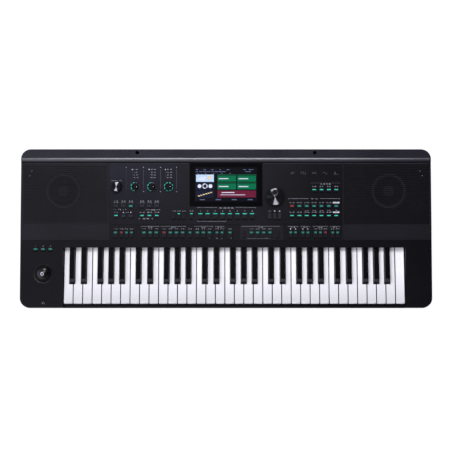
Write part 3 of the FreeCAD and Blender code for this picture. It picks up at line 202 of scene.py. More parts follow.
floor_shape = bpy.data.meshes.new("floor")
half = FLOOR_SIDE / 2
corners = [(-half, -half, 0), (half, -half, 0), (half, half, 0), (-half, half, 0)]
floor_shape.from_pydata(corners, [], [(0, 1, 2, 3)])
floor = bpy.data.objects.new("floor", floor_shape)
bpy.context.scene.collection.objects.link(floor)
floor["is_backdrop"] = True

paper = bpy.data.materials.new("white_sweep")
paper.use_nodes = True
sweep = paper.node_tree
sweep.nodes.remove(sweep.nodes["Principled BSDF"])
path = add_node(sweep, "ShaderNodeLightPath").outputs
mirrored = calculate(sweep, "MAXIMUM", path["Is Camera Ray"], path["Is Glossy Ray"])
shown = calculate(sweep, "MAXIMUM", mirrored, path["Is Transmission Ray"])
plain = add_node(sweep, "ShaderNodeBsdfDiffuse", Color=(FLOOR_ALBEDO,) * 3 + (1.0,)).outputs[0]
soft = add_node(sweep, "ShaderNodeBsdfDiffuse", Color=(FLOOR_BOUNCE,) * 3 + (1.0,)).outputs[0]
glow = add_node(sweep, "ShaderNodeEmission", Strength=FLOOR_GLOW).outputs[0]
white = in_order(sweep, "ShaderNodeAddShader", None, soft, glow)
above = mix_shaders(sweep, shown, plain, white)
below = add_node(sweep, "ShaderNodeBsdfTransparent").outputs[0]
under = add_node(sweep, "ShaderNodeNewGeometry").outputs["Backfacing"]
set_sockets(sweep, sweep.nodes["Material Output"], Surface=mix_shaders(sweep, under, above, below))
floor_shape.materials.append(paper)
print("floor side in m:", FLOOR_SIDE)

# %% Room and lamps
WINDOW_SIDE = (1.60, 1.60, 1.85)
FAR_SIDE = (0.02, 0.02, 0.03)
WINDOW_START, WINDOW_END = -0.32, 0.12
DUSK_START, DUSK_END, DUSK_LEVEL = 0.2, 0.65, 0.3
AT_PANEL = (0.0, 0.0, 0.08)

room = bpy.data.worlds.new("white_room")
bpy.context.scene.world = room
room.use_nodes = True
sky = room.node_tree
walls = sky.nodes["Background"]
direction = add_node(sky, "ShaderNodeTexCoord").outputs["Generated"]
compass = add_node(sky, "ShaderNodeSeparateXYZ", Vector=direction).outputs
past_window = share_between(sky, compass["X"], WINDOW_START, WINDOW_END)
wash = two_tone(sky, past_window, WINDOW_SIDE, FAR_SIDE, 0.0, 1.0)
dusk = add_node(sky, "ShaderNodeMapRange", Value=compass["Y"], From_Min=DUSK_START, From_Max=DUSK_END,
                To_Min=1.0, To_Max=DUSK_LEVEL).outputs[0]
set_sockets(sky, walls, Color=wash, Strength=dusk)
blank = add_node(sky, "ShaderNodeBackground", Color=(1.0, 1.0, 1.0, 1.0), Strength=1.0).outputs[0]
camera_ray = add_node(sky, "ShaderNodeLightPath").outputs["Is Camera Ray"]
facing = mix_shaders(sky, camera_ray, walls.outputs[0], blank)
set_sockets(sky, sky.nodes["World Output"], Surface=facing)


def softbox(name, place, aim, width, depth, power, tint=(1.0, 1.0, 1.0), washes=True):
    lamp = bpy.data.lights.new(name, "AREA")
    lamp.shape = "RECTANGLE"
    lamp.size, lamp.size_y = width, depth
    lamp.energy = power
    lamp.color = tint
    stand = bpy.data.objects.new(name, lamp)
    stand.location = place
    stand.rotation_euler = (Vector(aim) - Vector(place)).to_track_quat("-Z", "Y").to_euler()
    stand.visible_diffuse = washes
    bpy.context.scene.collection.objects.link(stand)


softbox("rear_softbox", (-0.02, 0.64, 1.66), AT_PANEL, 1.25, 0.6, power=21.5, tint=(0.97, 0.97, 1.05))
softbox("front_softbox", (-0.2, -1.7, 2.2), AT_PANEL, 1.7, 0.5, power=11.0)
softbox("horizon_lamp", (0.375, 2.1, 0.93), (-0.45, -0.11, 0.09), 0.5, 0.5, power=45.0, washes=False)
print("studio: floor, room and three lamps")

# %% [markdown]
# ## Moulded plastics
# Nearly everything here is black moulded plastic, and what tells the parts apart is the finish: fine spark
# grain on the case, satin paint on the panels, polish on the white keys. One recipe makes them all. A slow
# noise drifts the colour, a fine noise lifts the grain as bump and breaks up the gloss. A mask can lay
# another tone over part of a piece, or dull the gloss there, which fades to the right, away from the window.
# Several of these tones are painted light and shade: a painted sheen on the strip behind the ridge and on the
# upper left of the panel, painted shade towards the right and in the joints and fronts of the white keys,
# and a painted highlight on the brows of the black keys.

# %% A recipe for moulded plastic
DRIFT_SIZE = 0.09
ROUGH_DRIFT = 0.07


def drifting(tree, spot, colour, drift):
    slow = noise(tree, spot, DRIFT_SIZE, 3.0)
    return two_tone(tree, slow, shade(colour, 1.0 - drift), shade(colour, 1.0 + drift))


def moulded(name, colour, rough, grain, depth, shine=0.5, drift=0.14, layers=(), dulled=()):
    material, tree, shader, spot = new_finish(name)
    tint = drifting(tree, spot, colour, drift)
    for mask, second in layers:
        tint = blend(tree, mask(tree, spot), tint, drifting(tree, spot, second, drift))
    gloss = shine
    for mask, share in dulled:
        gloss = spread_value(tree, mask(tree, spot), gloss, shine * share)
    fine = noise(tree, spot, grain)
    roughness = spread_value(tree, fine, rough - ROUGH_DRIFT, rough + ROUGH_DRIFT)
    set_sockets(tree, shader, Base_Color=tint, Roughness=roughness, Specular_IOR_Level=gloss)
    raise_grain(tree, shader, fine, depth)
    return material


print("colour drifts over mm:", DRIFT_SIZE / MM)

# %% [markdown]
# A mask is a number from 0 to 1 at every point of a piece. The ones below follow a place along an axis, or
# the way a face leans, and two of them multiplied keep only what both let through. The joints of the white
# keys come round at each pitch, so one mask measures how far a point is from the nearest joint, and lays
# painted shade along it.

# %% Where a finish changes
SHARP = 0.0006
KEYS_LEFT, KEY_PITCH = -0.4024, 0.0235
SEAM_HALF, SEAM_BLUR = 0.0014, 0.0003
CROWN_BACK, CROWN_BLUR = 0.1716, 0.002


def beyond(axis, start, end):
    return lambda tree, spot: zone(tree, spot, axis, start, end)


def leaning(axis, start, end):
    def mask(tree, spot):
        normal = add_node(tree, "ShaderNodeNewGeometry").outputs["Normal"]
        return zone(tree, normal, axis, start, end)
    return mask


def within(first, second):
    return lambda tree, spot: calculate(tree, "MULTIPLY", first(tree, spot), second(tree, spot))


def between(axis, low, high):
    return within(beyond(axis, low, low + SHARP), beyond(axis, high, high - SHARP))


# Faces turned sideways. On the white keys this mask lays painted shade on their sides; on the rear cover it
# only dulls the gloss.
def flanks(tree, spot):
    normal = add_node(tree, "ShaderNodeNewGeometry").outputs["Normal"]
    either = in_order(tree, "ShaderNodeVectorMath", {"operation": "ABSOLUTE"}, normal)
    return zone(tree, either, "X", 0.15, 0.5)


# Painted shade along each joint of the white keys, where the gap between them lies in shade.
def key_seam_shade(tree, spot):
    place = add_node(tree, "ShaderNodeSeparateXYZ", Vector=spot).outputs["X"]
    along = calculate(tree, "SUBTRACT", place, KEYS_LEFT)
    apart = calculate(tree, "PINGPONG", along, KEY_PITCH / 2)
    return share_between(tree, apart, SEAM_HALF, SEAM_HALF - SEAM_BLUR)


# The rear strip gets a lighter tone and no gloss: a painted sheen in place of its reflection. Its right end
# is darker: painted shade where the window light fades.
REAR_STRIP = beyond("Y", CROWN_BACK - CROWN_BLUR, CROWN_BACK)
STRIP_END_SHADE = within(REAR_STRIP, beyond("X", -0.2, 0.45))
CROWN_FRONT = leaning("Y", -0.22, -0.52)
# Painted light on the panels: the lighter tone on the upper left is a painted sheen, and the darker tone on
# the right is painted shade.
PANEL_LEFT_SHEEN = within(beyond("X", -0.10, -0.20), beyond("Y", 0.05, 0.14))
PANEL_RIGHT_SHADE = beyond("X", 0.10, 0.22)
WINDOW_FADE = beyond("X", 0.02, 0.28)
PLATE_LINE = beyond("Y", -0.0293, -0.0287)
LIGHT_BLOCK = between("X", 0.0347, 0.1418)
# The white keys are darker towards the front and lighter at the back: painted shade and painted light from
# the lamp behind.
KEY_BACKS_LIT = beyond("Y", -0.175, -0.105)
# The front slope of each black key gets a lighter tone: a painted highlight where the front lamp falls.
KEY_BROW_HIGHLIGHT = within(leaning("Y", -0.18, -0.26), leaning("Y", -0.62, -0.52))
print("joints of the keys every mm:", KEY_PITCH / MM)

# %% [markdown]
# Each finish gives its colour, its roughness, the size and the depth of its grain, and its gloss. Tones that
# lie over it come as layers, and places with less gloss as the share that is left there.

# %% Plastic finishes
FADED = [(WINDOW_FADE, 0.65)]
case_black = moulded("case_black", (0.0034, 0.0032, 0.0045), 0.40, 0.0007, 0.00002, 0.10,
                     layers=[(PLATE_LINE, (0.0098, 0.0096, 0.0120))], dulled=FADED)
# Rear cover: painted sheen on the strip behind the ridge, painted shade at the strip's right end.
rear_black = moulded("rear_black", (0.0062, 0.0062, 0.0094), 0.31, 0.0006, 0.000004, 1.0,
                     layers=[(REAR_STRIP, (0.0278, 0.0278, 0.0340)), (STRIP_END_SHADE, (0.0168, 0.0164, 0.0208))],
                     dulled=[(REAR_STRIP, 0.0), (CROWN_FRONT, 0.06), (flanks, 0.06)])
# Panel: painted sheen on the upper left, painted shade on the right.
panel_black = moulded("panel_black", (0.0052, 0.0050, 0.0074), 0.44, 0.0005, 0.00002, 0.10,
                      layers=[(PANEL_LEFT_SHEEN, (0.0096, 0.0091, 0.0160)),
                              (PANEL_RIGHT_SHADE, (0.0022, 0.0022, 0.0036))],
                      dulled=FADED)
strip_black = moulded("strip_black", (0.0058, 0.0056, 0.0074), 0.42, 0.0005, 0.00002, 0.09,
                      layers=[(LIGHT_BLOCK, (0.0105, 0.0103, 0.0128))], dulled=FADED)
# Grilles: painted shade on the right.
grille_black = moulded("grille_black", (0.0054, 0.0052, 0.0072), 0.44, 0.0006, 0.00002, 0.12,
                       layers=[(PANEL_RIGHT_SHADE, (0.0030, 0.0028, 0.0042))], dulled=FADED)
button_black = moulded("button_black", (0.0058, 0.0056, 0.0076), 0.44, 0.0004, 0.00001, 0.12)
cap_slate = moulded("cap_slate", (0.0125, 0.0123, 0.0182), 0.44, 0.0004, 0.00001, 0.14)
knob_black = moulded("knob_black", (0.0018, 0.0018, 0.0022), 0.34, 0.0005, 0.00001, 0.10)
stick_black = moulded("stick_black", (0.0016, 0.0016, 0.0022), 0.33, 0.0008, 0.000003, 0.34)
dish_black = moulded("dish_black", (0.0085, 0.0085, 0.0095), 0.38, 0.0008, 0.000005, 1.0)
socket_black = moulded("socket_black", (0.0100, 0.0100, 0.0110), 0.40, 0.0006, 0.00001, 0.4)
frame_grey = moulded("frame_grey", (0.0900, 0.0900, 0.0950), 0.50, 0.0008, 0.00002)
foot_rubber = moulded("foot_rubber", (0.0140, 0.0140, 0.0140), 0.78, 0.0005, 0.00008, 0.3)
# White keys: the lighter backs, darker fronts, dark sides and dark joints are painted light and shade.
key_white = moulded("key_white", (0.605, 0.600, 0.590), 0.26, 0.004, 0.000004, 0.4, drift=0.012,
                    layers=[(KEY_BACKS_LIT, (0.855, 0.848, 0.832)), (flanks, (0.045, 0.045, 0.05)),
                            (key_seam_shade, (0.06, 0.054, 0.052))])
# Black keys: painted highlight on the front slope.
key_black = moulded("key_black", (0.0022, 0.0019, 0.0028), 0.26, 0.0005, 0.000006, 0.045,
                    layers=[(KEY_BROW_HIGHLIGHT, (0.028, 0.027, 0.031))])
cone_paper = moulded("cone_paper", (0.0120, 0.0120, 0.0140), 0.70, 0.0012, 0.0001, 0.3)
speaker_paint = moulded("speaker_paint", (0.0100, 0.0100, 0.0115), 0.40, 0.0009, 0.00003, 0.3)
red_felt = moulded("red_felt", (0.28, 0.03, 0.03), 0.90, 0.0008, 0.0002, 0.1)
board_green = moulded("board_green", (0.02, 0.11, 0.05), 0.35, 0.002, 0.00002)
print("finishes so far:", len(bpy.data.materials))

# %% [markdown]
# ## Metals
# Pressed and drawn steel shows fine lines along the way it was worked, so its noise is stretched along one
# axis. The spun caps of the dial and the volume knob need a tangent and wait until their meshes exist.

# %% Metal finishes
LINE_SIZE, LINE_DEPTH, LINE_DRIFT = 0.001, 0.00001, 0.08


def drawn_metal(name, colour, rough, stretch):
    material, tree, shader, spot = new_finish(name)
    line = add_node(tree, "ShaderNodeMapping", Vector=spot, Scale=stretch).outputs[0]
    grain = noise(tree, line, LINE_SIZE, 4.0)
    tint = two_tone(tree, grain, shade(colour, 0.8), shade(colour, 1.1))
    roughness = spread_value(tree, grain, rough - LINE_DRIFT, rough + LINE_DRIFT)
    set_sockets(tree, shader, Base_Color=tint, Roughness=roughness, Metallic=1.0)
    raise_grain(tree, shader, grain, LINE_DEPTH)
    return material


steel = drawn_metal("steel", (0.55, 0.55, 0.57), 0.32, (1.0, 14.0, 1.0))
dark_zinc = drawn_metal("dark_zinc", (0.12, 0.12, 0.125), 0.36, (1.0, 1.0, 1.0))
nickel = drawn_metal("nickel", (0.62, 0.6, 0.57), 0.2, (1.0, 1.0, 6.0))
print("metal finishes ready")

# %% [markdown]
# ## Glass, light and ink
# A lit window is tinted plastic with a lamp behind it, so it has a colour of its own and glows a little.
# Fine ribs under the surface spread the light. Screen colours carry the fine grid of the display, under a
# smooth clear pane. Printing ink is flat and slightly worn.

# %% Recipes for light and ink
RIB_SCALE, RIB_DEPTH = 420.0, 0.00002
PIXEL_SCALE = 3600.0
PANE_SHINE = 0.2
INK_WEAR = 0.0012


def fine_ribs(tree, spot):
    wave = add_node(tree, "ShaderNodeTexWave", {"bands_direction": "X"}, Vector=spot, Scale=RIB_SCALE)
    return wave.outputs["Fac"]


def pixel_grid(tree, spot):
    return add_node(tree, "ShaderNodeTexChecker", Vector=spot, Scale=PIXEL_SCALE).outputs["Fac"]


def glowing(name, colour, glow, rough, pattern, dark, light):
    material, tree, shader, spot = new_finish(name)
    figure = pattern(tree, spot)
    tint = two_tone(tree, figure, shade(colour, dark), shade(colour, light))
    set_sockets(tree, shader, Base_Color=tint, Emission_Color=tint, Emission_Strength=glow, Roughness=rough,
                Specular_IOR_Level=PANE_SHINE)
    return material, tree, shader, figure


def lit_window(name, colour, glow):
    material, tree, shader, ribs = glowing(name, colour, glow, 0.3, fine_ribs, 0.78, 1.08)
    raise_grain(tree, shader, ribs, RIB_DEPTH)
    return material


def screen_tint(name, colour, glow):
    return glowing(name, colour, glow, 0.12, pixel_grid, 0.82, 1.06)[0]


def printed(name, colour, shine=0.2):
    material, tree, shader, spot = new_finish(name)
    wear = noise(tree, spot, INK_WEAR, 3.0)
    tint = two_tone(tree, wear, shade(colour, 0.8), shade(colour, 1.08))
    set_sockets(tree, shader, Base_Color=tint, Roughness=0.6, Specular_IOR_Level=shine)
    return material


print("light and ink recipes ready")

# %% Light and ink finishes
teal_bright = lit_window("teal_bright", (0.032, 0.44, 0.315), 0.19)
teal_ring = lit_window("teal_ring", (0.030, 0.40, 0.295), 0.18)
teal_muted = lit_window("teal_muted", (0.027, 0.168, 0.130), 0.06)
red_muted = lit_window("red_muted", (0.155, 0.031, 0.031), 0.06)
teal_dark = lit_window("teal_dark", (0.0035, 0.034, 0.027), 0.05)
red_dark = lit_window("red_dark", (0.05, 0.006, 0.006), 0.05)
lamp_white = lit_window("lamp_white", (0.75, 0.75, 0.74), 0.2)
lamp_off = lit_window("lamp_off", (0.045, 0.04, 0.04), 0.0)
screen_green = screen_tint("screen_green", (0.0, 0.108, 0.043), 0.25)
screen_leaf = screen_tint("screen_leaf", (0.002, 0.05, 0.022), 0.2)
screen_crimson = screen_tint("screen_crimson", (0.098, 0.008, 0.024), 0.25)
screen_navy = screen_tint("screen_navy", (0.0012, 0.0014, 0.0032), 0.1)
screen_slate = screen_tint("screen_slate", (0.004, 0.006, 0.018), 0.25)
screen_pale = screen_tint("screen_pale", (0.5, 0.53, 0.6), 0.35)
screen_mist = screen_tint("screen_mist", (0.070, 0.088, 0.155), 0.3)
screen_sky = screen_tint("screen_sky", (0.36, 0.47, 0.58), 0.3)
screen_gold = screen_tint("screen_gold", (0.56, 0.45, 0.24), 0.3)
ink_grey = printed("ink_grey", (0.24, 0.24, 0.26))
ink_light = printed("ink_light", (0.38, 0.38, 0.41))
ink_dim = printed("ink_dim", (0.055, 0.055, 0.064))
ink_soft = printed("ink_soft", (0.115, 0.115, 0.135))
ink_white = printed("ink_white", (0.60, 0.61, 0.66))
# Near-black: painted shadow strips in front of the caps, and the dark print of the box numbers.
shadow_and_print_black = printed("shadow_and_print_black", (0.0012, 0.0012, 0.0016), 0.02)
# Dim grey: the painted highlight on the rear edges, and the faint print of the first knob separator.
sheen_and_faint_ink = printed("sheen_and_faint_ink", (0.022, 0.022, 0.030))
lens_black = moulded("lens_black", (0.0016, 0.0016, 0.002), 0.1, 0.02, 0.000001, shine=0.06)
print("light, screen and ink finishes ready")

# %% [markdown]
# ## Dress the CAD nodes
# The CAD solids already have the right shapes, so they keep them and only change their finish. A moulded
# edge is never razor sharp: a Weld modifier closes the loose triangles, and a small Bevel then rounds the
# edges of keys and caps, which is what catches the light along them.

# %% Finishes on the CAD nodes
SLATE_CAPS = ["style_buttons", "cursor_buttons"]
PLAIN_CAPS = [n for n in nodes if n.endswith("_buttons") and n not in SLATE_CAPS]
KNOBS = [n for n in nodes if n.endswith(("volume_knob", "data_dial")) or n.startswith("assign")]
DRESS = [
    (case_black, ["upper_case", "lower_case", "jack_plate"]),
    (dish_black, ["joystick_housing"]),
    (rear_black, ["rear_cover", "music_rest_sockets"]),
    (panel_black, ["control_panel"]),
    (strip_black, ["button_strip"]),
    (grille_black, ["left_speaker_grille", "right_speaker_grille"]),
    (speaker_paint, ["speaker_drivers"]),
    (cone_paper, ["speaker_cones"]),
    (lens_black, ["display_lens"]),
    (socket_black, ["jack_sockets", "headphone_socket", "power_inlet", "rotary_encoders"]),
    (nickel, ["usb_sockets"]),
    (foot_rubber, ["rubber_feet", "key_contact_rubber"]),
    (dark_zinc, ["case_screws"]),
    (frame_grey, ["key_frame"]),
    (steel, ["display_module", "key_pivot_rod", "key_return_springs", "data_dial_disc"]),
    (red_felt, ["key_stop_felts"]),
    (board_green, ["key_contact_board", "panel_circuit_boards", "main_circuit_board"]),
    (key_white, [n for n in nodes if n.startswith("white_keys")]),
    (key_black, [n for n in nodes if n.startswith("black_keys")]),
    (button_black, PLAIN_CAPS + ["power_button"]),
    (cap_slate, SLATE_CAPS),
    (knob_black, KNOBS),
    (stick_black, ["joystick_stick", "joystick_gimbal"]),
]
for material, names in DRESS:
    for name in names:
        nodes[name].data.materials.clear()
        nodes[name].data.materials.append(material)
print("dressed nodes:", sum(len(names) for _, names in DRESS), "of", len(nodes))

# %% Soft edges
WELD_GAP = 0.000002
EDGE_ANGLE = math.radians(40)
EDGE_SEGMENTS = 2
SOFT_EDGE, BLACK_KEY_EDGE = 0.0005, 0.0004


def soften(name, width):
    weld = nodes[name].modifiers.new("close_triangles", "WELD")
    weld.merge_threshold = WELD_GAP
    edge = nodes[name].modifiers.new("soft_edge", "BEVEL")
    edge.width = width
    edge.segments = EDGE_SEGMENTS
    edge.limit_method = "ANGLE"
    edge.angle_limit = EDGE_ANGLE
    edge.harden_normals = True


for name in nodes:
    if name.startswith("black_keys"):
        soften(name, BLACK_KEY_EDGE)
    elif name.startswith("white_keys") or name.endswith("_buttons"):
        soften(name, SOFT_EDGE)
print("softened nodes:", sum(len(node.modifiers) > 0 for node in nodes.values()))

# %% [markdown]
# ## Working on the sloping faces
# The panel, the button band and the end blocks each slope their own way. It is easier to draw on them flat:
# x across, v up the slope and w out of the face, in millimetres, and to lay the finished mesh on the slope
# with one matrix. The three slopes are those of the CAD model, each given by one point and its angle.

# %% Face frames
FACES = {"block": (-195.0, 69.2, 8.282), "band": (-26.058, 93.952, 11.310),
         "panel": (11.471, 101.278, 7.932)}


def lie_on(face):
    y, z, slope = FACES[face]
    stand = Matrix.Translation((0.0, y * MM, z * MM)) @ Matrix.Rotation(math.radians(slope), 4, "X")
    return stand @ Matrix.Scale(MM, 4)


def keep_piece(name, mesh, place, body):
    mesh.transform(place)
    piece = bpy.data.objects.new(name, mesh)
    bpy.context.scene.collection.objects.link(piece)
    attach(piece, body)
    return piece


print("faces:", ", ".join(FACES))

# %% [markdown]
# ## One tree for everything that repeats
# Lit windows, printed lines, lamps, screen tiles, ring lights and grip ribs are all one small shape set down
# many times. Copying meshes in a loop would do, but Geometry Nodes says it better: a tree makes the shape
# from named sizes, sets it on a list of points, turns and stretches it by two point attributes, and
# realizes the result. Each pattern only differs in the shape, so the tree builder takes that as a function.

# %% Pattern trees
def pattern_tree(name, sizes, shape):
    tree = bpy.data.node_groups.new(name, "GeometryNodeTree")
    tree.interface.new_socket("Spots", in_out="INPUT", socket_type="NodeSocketGeometry")
    for label in sizes:
        tree.interface.new_socket(label, in_out="INPUT", socket_type="NodeSocketFloat")
    tree.interface.new_socket("Finish", in_out="INPUT", socket_type="NodeSocketMaterial")
    tree.interface.new_socket("Pieces", in_out="OUTPUT", socket_type="NodeSocketGeometry")
    given = tree.nodes.new("NodeGroupInput")
    one = shape(tree, given.outputs)
    turn = add_node(tree, "GeometryNodeInputNamedAttribute", {"data_type": "FLOAT"}, Name="turn")
    stretch = add_node(tree, "GeometryNodeInputNamedAttribute", {"data_type": "FLOAT_VECTOR"}, Name="stretch")
    spin = add_node(tree, "ShaderNodeCombineXYZ", Z=turn.outputs["Attribute"])
    spread = add_node(tree, "GeometryNodeInstanceOnPoints", Points=given.outputs["Spots"], Instance=one,
                      Rotation=spin.outputs[0], Scale=stretch.outputs["Attribute"])
    real = add_node(tree, "GeometryNodeRealizeInstances", Geometry=spread.outputs[0])
    done = add_node(tree, "GeometryNodeSetMaterial", Geometry=real.outputs[0],
                    Material=given.outputs["Finish"])
    last = tree.nodes.new("NodeGroupOutput")
    tree.links.new(done.outputs[0], last.inputs["Pieces"])
    return tree


CORNER_STEPS, ARC_STEPS = 3, 7
TILE_WELD = 0.0001


def oblong(tree, width, height):
    return add_node(tree, "GeometryNodeCurvePrimitiveQuadrilateral", Width=width, Height=height).outputs[0]


def tile_shape(tree, given):
    outline = oblong(tree, given["Width"], given["Depth"])
    rounded = add_node(tree, "GeometryNodeFilletCurve", {"mode": "POLY"}, Curve=outline, Count=CORNER_STEPS,
                       Radius=given["Corner"], Limit_Radius=True)
    base = add_node(tree, "GeometryNodeFillCurve", {"mode": "NGONS"}, Curve=rounded.outputs[0]).outputs[0]
    raised = add_node(tree, "GeometryNodeExtrudeMesh", Mesh=base, Offset_Scale=given["Rise"]).outputs
    tapered = add_node(tree, "GeometryNodeScaleElements", Geometry=raised["Mesh"], Selection=raised["Top"],
                       Scale=given["Taper"])
    under = add_node(tree, "GeometryNodeFlipFaces", Mesh=base)
    joined = add_node(tree, "GeometryNodeJoinGeometry", Geometry=tapered.outputs[0])
    tree.links.new(under.outputs[0], joined.inputs[0])
    whole = add_node(tree, "GeometryNodeMergeByDistance", Geometry=joined.outputs[0], Distance=TILE_WELD)
    return whole.outputs[0]


def arc_shape(tree, given):
    start = calculate(tree, "MULTIPLY", given["Sweep"], -0.5)
    path = add_node(tree, "GeometryNodeCurveArc", Resolution=ARC_STEPS, Radius=given["Radius"],
                    Start_Angle=start, Sweep_Angle=given["Sweep"]).outputs[0]
    section = oblong(tree, given["Band"], given["Rise"])
    swept = add_node(tree, "GeometryNodeCurveToMesh", Curve=path, Profile_Curve=section, Fill_Caps=True)
    return swept.outputs[0]


TILE = pattern_tree("rounded_tiles", ("Width", "Depth", "Corner", "Rise", "Taper"), tile_shape)
ARC = pattern_tree("ring_segments", ("Radius", "Sweep", "Band", "Rise"), arc_shape)
print("trees:", TILE.name, ARC.name)

# %% [markdown]
# A tree needs points to work on. `spot` describes one point, and `lay` turns a list of them into a plain
# mesh on a face: it fills the attributes, sets the modifier inputs by identifier, takes the evaluated mesh
# and throws the helper object away.

# %% Laying a pattern on a face
def spot(x, v, w=0.0, turn=0.0, wide=1.0, deep=1.0):
    return (x, v, w), turn, (wide, deep, 1.0)


def grow_mesh(tree, spots, finish, sizes):
    points = bpy.data.meshes.new("spots")
    points.from_pydata([place for place, _, _ in spots], [], [])
    turns = points.attributes.new("turn", "FLOAT", "POINT")
    turns.data.foreach_set("value", [turn for _, turn, _ in spots])
    stretches = points.attributes.new("stretch", "FLOAT_VECTOR", "POINT")
    stretches.data.foreach_set("vector", [c for _, _, stretch in spots for c in stretch])
    helper = bpy.data.objects.new("helper", points)
    bpy.context.scene.collection.objects.link(helper)
    modifier = helper.modifiers.new("pattern", "NODES")
    modifier.node_group = tree
    for item in tree.interface.items_tree:
        if item.in_out == "INPUT" and item.name in sizes:
            modifier[item.identifier] = sizes[item.name]
        elif item.in_out == "INPUT" and item.name == "Finish":
            modifier[item.identifier] = finish
    bpy.context.view_layer.update()
    graph = bpy.context.evaluated_depsgraph_get()
    mesh = bpy.data.meshes.new_from_object(helper.evaluated_get(graph))
    helper.modifiers.remove(modifier)
    bpy.data.objects.remove(helper)
    bpy.data.meshes.remove(points)
    for name in ("turn", "stretch"):
        if name in mesh.attributes:
            mesh.attributes.remove(mesh.attributes[name])
    return mesh


def lay(name, face, spots, finish, body, slot, tree=TILE, **sizes):
    mesh = grow_mesh(tree, spots, finish, sizes)
    mesh.name = name
    return keep_piece(name, mesh, lie_on(face), body)


def tiles(name, face, spots, finish, body, slot, width, depth, rise, corner=0.4, taper=0.96):
    return lay(name, face, spots, finish, body, slot, Width=width, Depth=depth, Rise=rise, Corner=corner,
               Taper=taper)


print("pattern tools ready")

# %% [markdown]
# ## Lit windows in the caps
# Most caps carry a small window with a lamp behind it: a bright bar on the caps that are on, a dull teal
# pane with a darker rim on others, and a few reds. They are thin lenses let into the cap top, so they ride
# the cap's own body and go down with it.

# %% Where the caps stand
PANEL_WIDTH = 576.0
CAP_TOP = 2.0
LET_IN = 0.3
WINDOW_RISE = 0.5
RIM = 1.6
ROW_ONE, ROW_TWO, PART_ROW, BAND_ROW = 18.3, 43.2, 82.3, 11.2


def across(*shares):
    return [share * PANEL_WIDTH for share in shares]


STYLE_X = across(-0.4719, -0.4398, -0.4082, -0.3601, -0.3286, -0.2970)
SIDE_X = across(-0.2236, -0.2023, -0.1809, -0.1484)
REGISTER_X = across(-0.1102, -0.0785, -0.0467, -0.0149, 0.0168, 0.0486, 0.0804, 0.1122)
VOICE_X = across(0.2830, 0.3146, 0.3464, 0.3780, 0.4095, 0.4411, 0.4729)
TRANSPORT_WIDE, TRANSPORT_NARROW = across(-0.4747), across(-0.4488, -0.4274, -0.4059)
RHYTHM_WIDE = across(-0.3523, -0.3255, -0.2990, -0.2655, -0.2389, -0.2125, -0.1861, -0.1227, -0.0970, -0.0712,
                     0.0172)
RHYTHM_NARROW = across(-0.1542, -0.0385, -0.0172)
TEMPO_WIDE = across(0.1092, 0.1356, 0.1620, 0.1884)
FUNCTION_NARROW = across(0.2776, 0.2986, 0.3300, 0.3514, 0.3845, 0.4056, 0.4267, 0.4580, 0.4790)
CURSOR_X = across(0.1875, 0.2089, 0.2302)
TEMPO_NARROW = across(0.0769, 0.2205)
BLOCK_X = [-471.0, -452.8, -434.6]
upper_rows = STYLE_X * 2 + SIDE_X + REGISTER_X + CURSOR_X + VOICE_X * 2 + VOICE_X[3:]
print("caps on the upper panel:", len(upper_rows))

# %% Windows on the upper panel
WINDOW_CORNER = 0.7
RIM_RISE = 0.8 * WINDOW_RISE
BAR = (teal_bright, None)
TEAL_PANE = (teal_muted, teal_dark)
RED_PANE = (red_muted, red_dark)


def windows(name, face, body, row, places, size, finish, rim):
    width, depth = size
    spots = [spot(x, row, CAP_TOP - LET_IN) for x in places]
    if rim:
        tiles(name + "_rim", face, spots, rim, body, "button_black", width + RIM, depth + RIM, RIM_RISE,
              WINDOW_CORNER)
    tiles(name, face, spots, finish, body, "button_black", width, depth, WINDOW_RISE, WINDOW_CORNER)


PANEL_WINDOWS = (
    ("style_bar_lights", "style_buttons", 19.6, STYLE_X[:1] + STYLE_X[3:], (9.0, 2.4), BAR),
    ("style_pane_light", "style_buttons", 42.9, STYLE_X[2:3], (8.6, 4.4), TEAL_PANE),
    ("register_bar_lights", "register_buttons", 23.9, REGISTER_X, (10.8, 2.2), BAR),
    ("register_side_lights", "register_buttons", 24.0, SIDE_X[1::2], (6.6, 2.2), BAR),
    ("part_bar_lights", "part_buttons", 83.4, VOICE_X[3:], (9.2, 2.4), BAR),
    ("voice_pane_lights", "voice_buttons", 42.9, VOICE_X[1:], (8.2, 4.2), TEAL_PANE),
    ("voice_first_pane", "voice_buttons", 43.0, VOICE_X[:1], (8.6, 4.8), RED_PANE),
    ("voice_bar_lights", "voice_buttons", 19.4, VOICE_X, (9.4, 2.4), BAR),
)
for name, body, row, places, size, lights in PANEL_WINDOWS:
    windows(name, "panel", body, row, places, size, *lights)
print("rows of panel windows:", len(PANEL_WINDOWS))

# %% Windows on the band and the left block
BAND_WINDOW_ROW = 16.0
WIDE_PANE, NARROW_PANE = (7.8, 3.9), (6.2, 3.8)
BAND_WINDOWS = (
    ("transport_lights", "transport_buttons", TRANSPORT_NARROW[1:], NARROW_PANE, TEAL_PANE),
    ("transport_wide_light", "transport_buttons", TRANSPORT_WIDE, WIDE_PANE, TEAL_PANE),
    ("transport_red_light", "transport_buttons", TRANSPORT_NARROW[:1], NARROW_PANE, RED_PANE),
    ("rhythm_lights", "rhythm_buttons", RHYTHM_WIDE[:3] + RHYTHM_WIDE[4:], WIDE_PANE, TEAL_PANE),
    ("rhythm_narrow_lights", "rhythm_buttons", RHYTHM_NARROW, NARROW_PANE, TEAL_PANE),
    ("rhythm_red_light", "rhythm_buttons", RHYTHM_WIDE[3:4], WIDE_PANE, RED_PANE),
    ("tempo_lights", "tempo_buttons", TEMPO_WIDE, WIDE_PANE, TEAL_PANE),
    ("function_lights", "function_buttons", FUNCTION_NARROW[:6] + FUNCTION_NARROW[7:], NARROW_PANE,
     TEAL_PANE),
    ("function_red_light", "function_buttons", FUNCTION_NARROW[6:7], NARROW_PANE, RED_PANE),
)
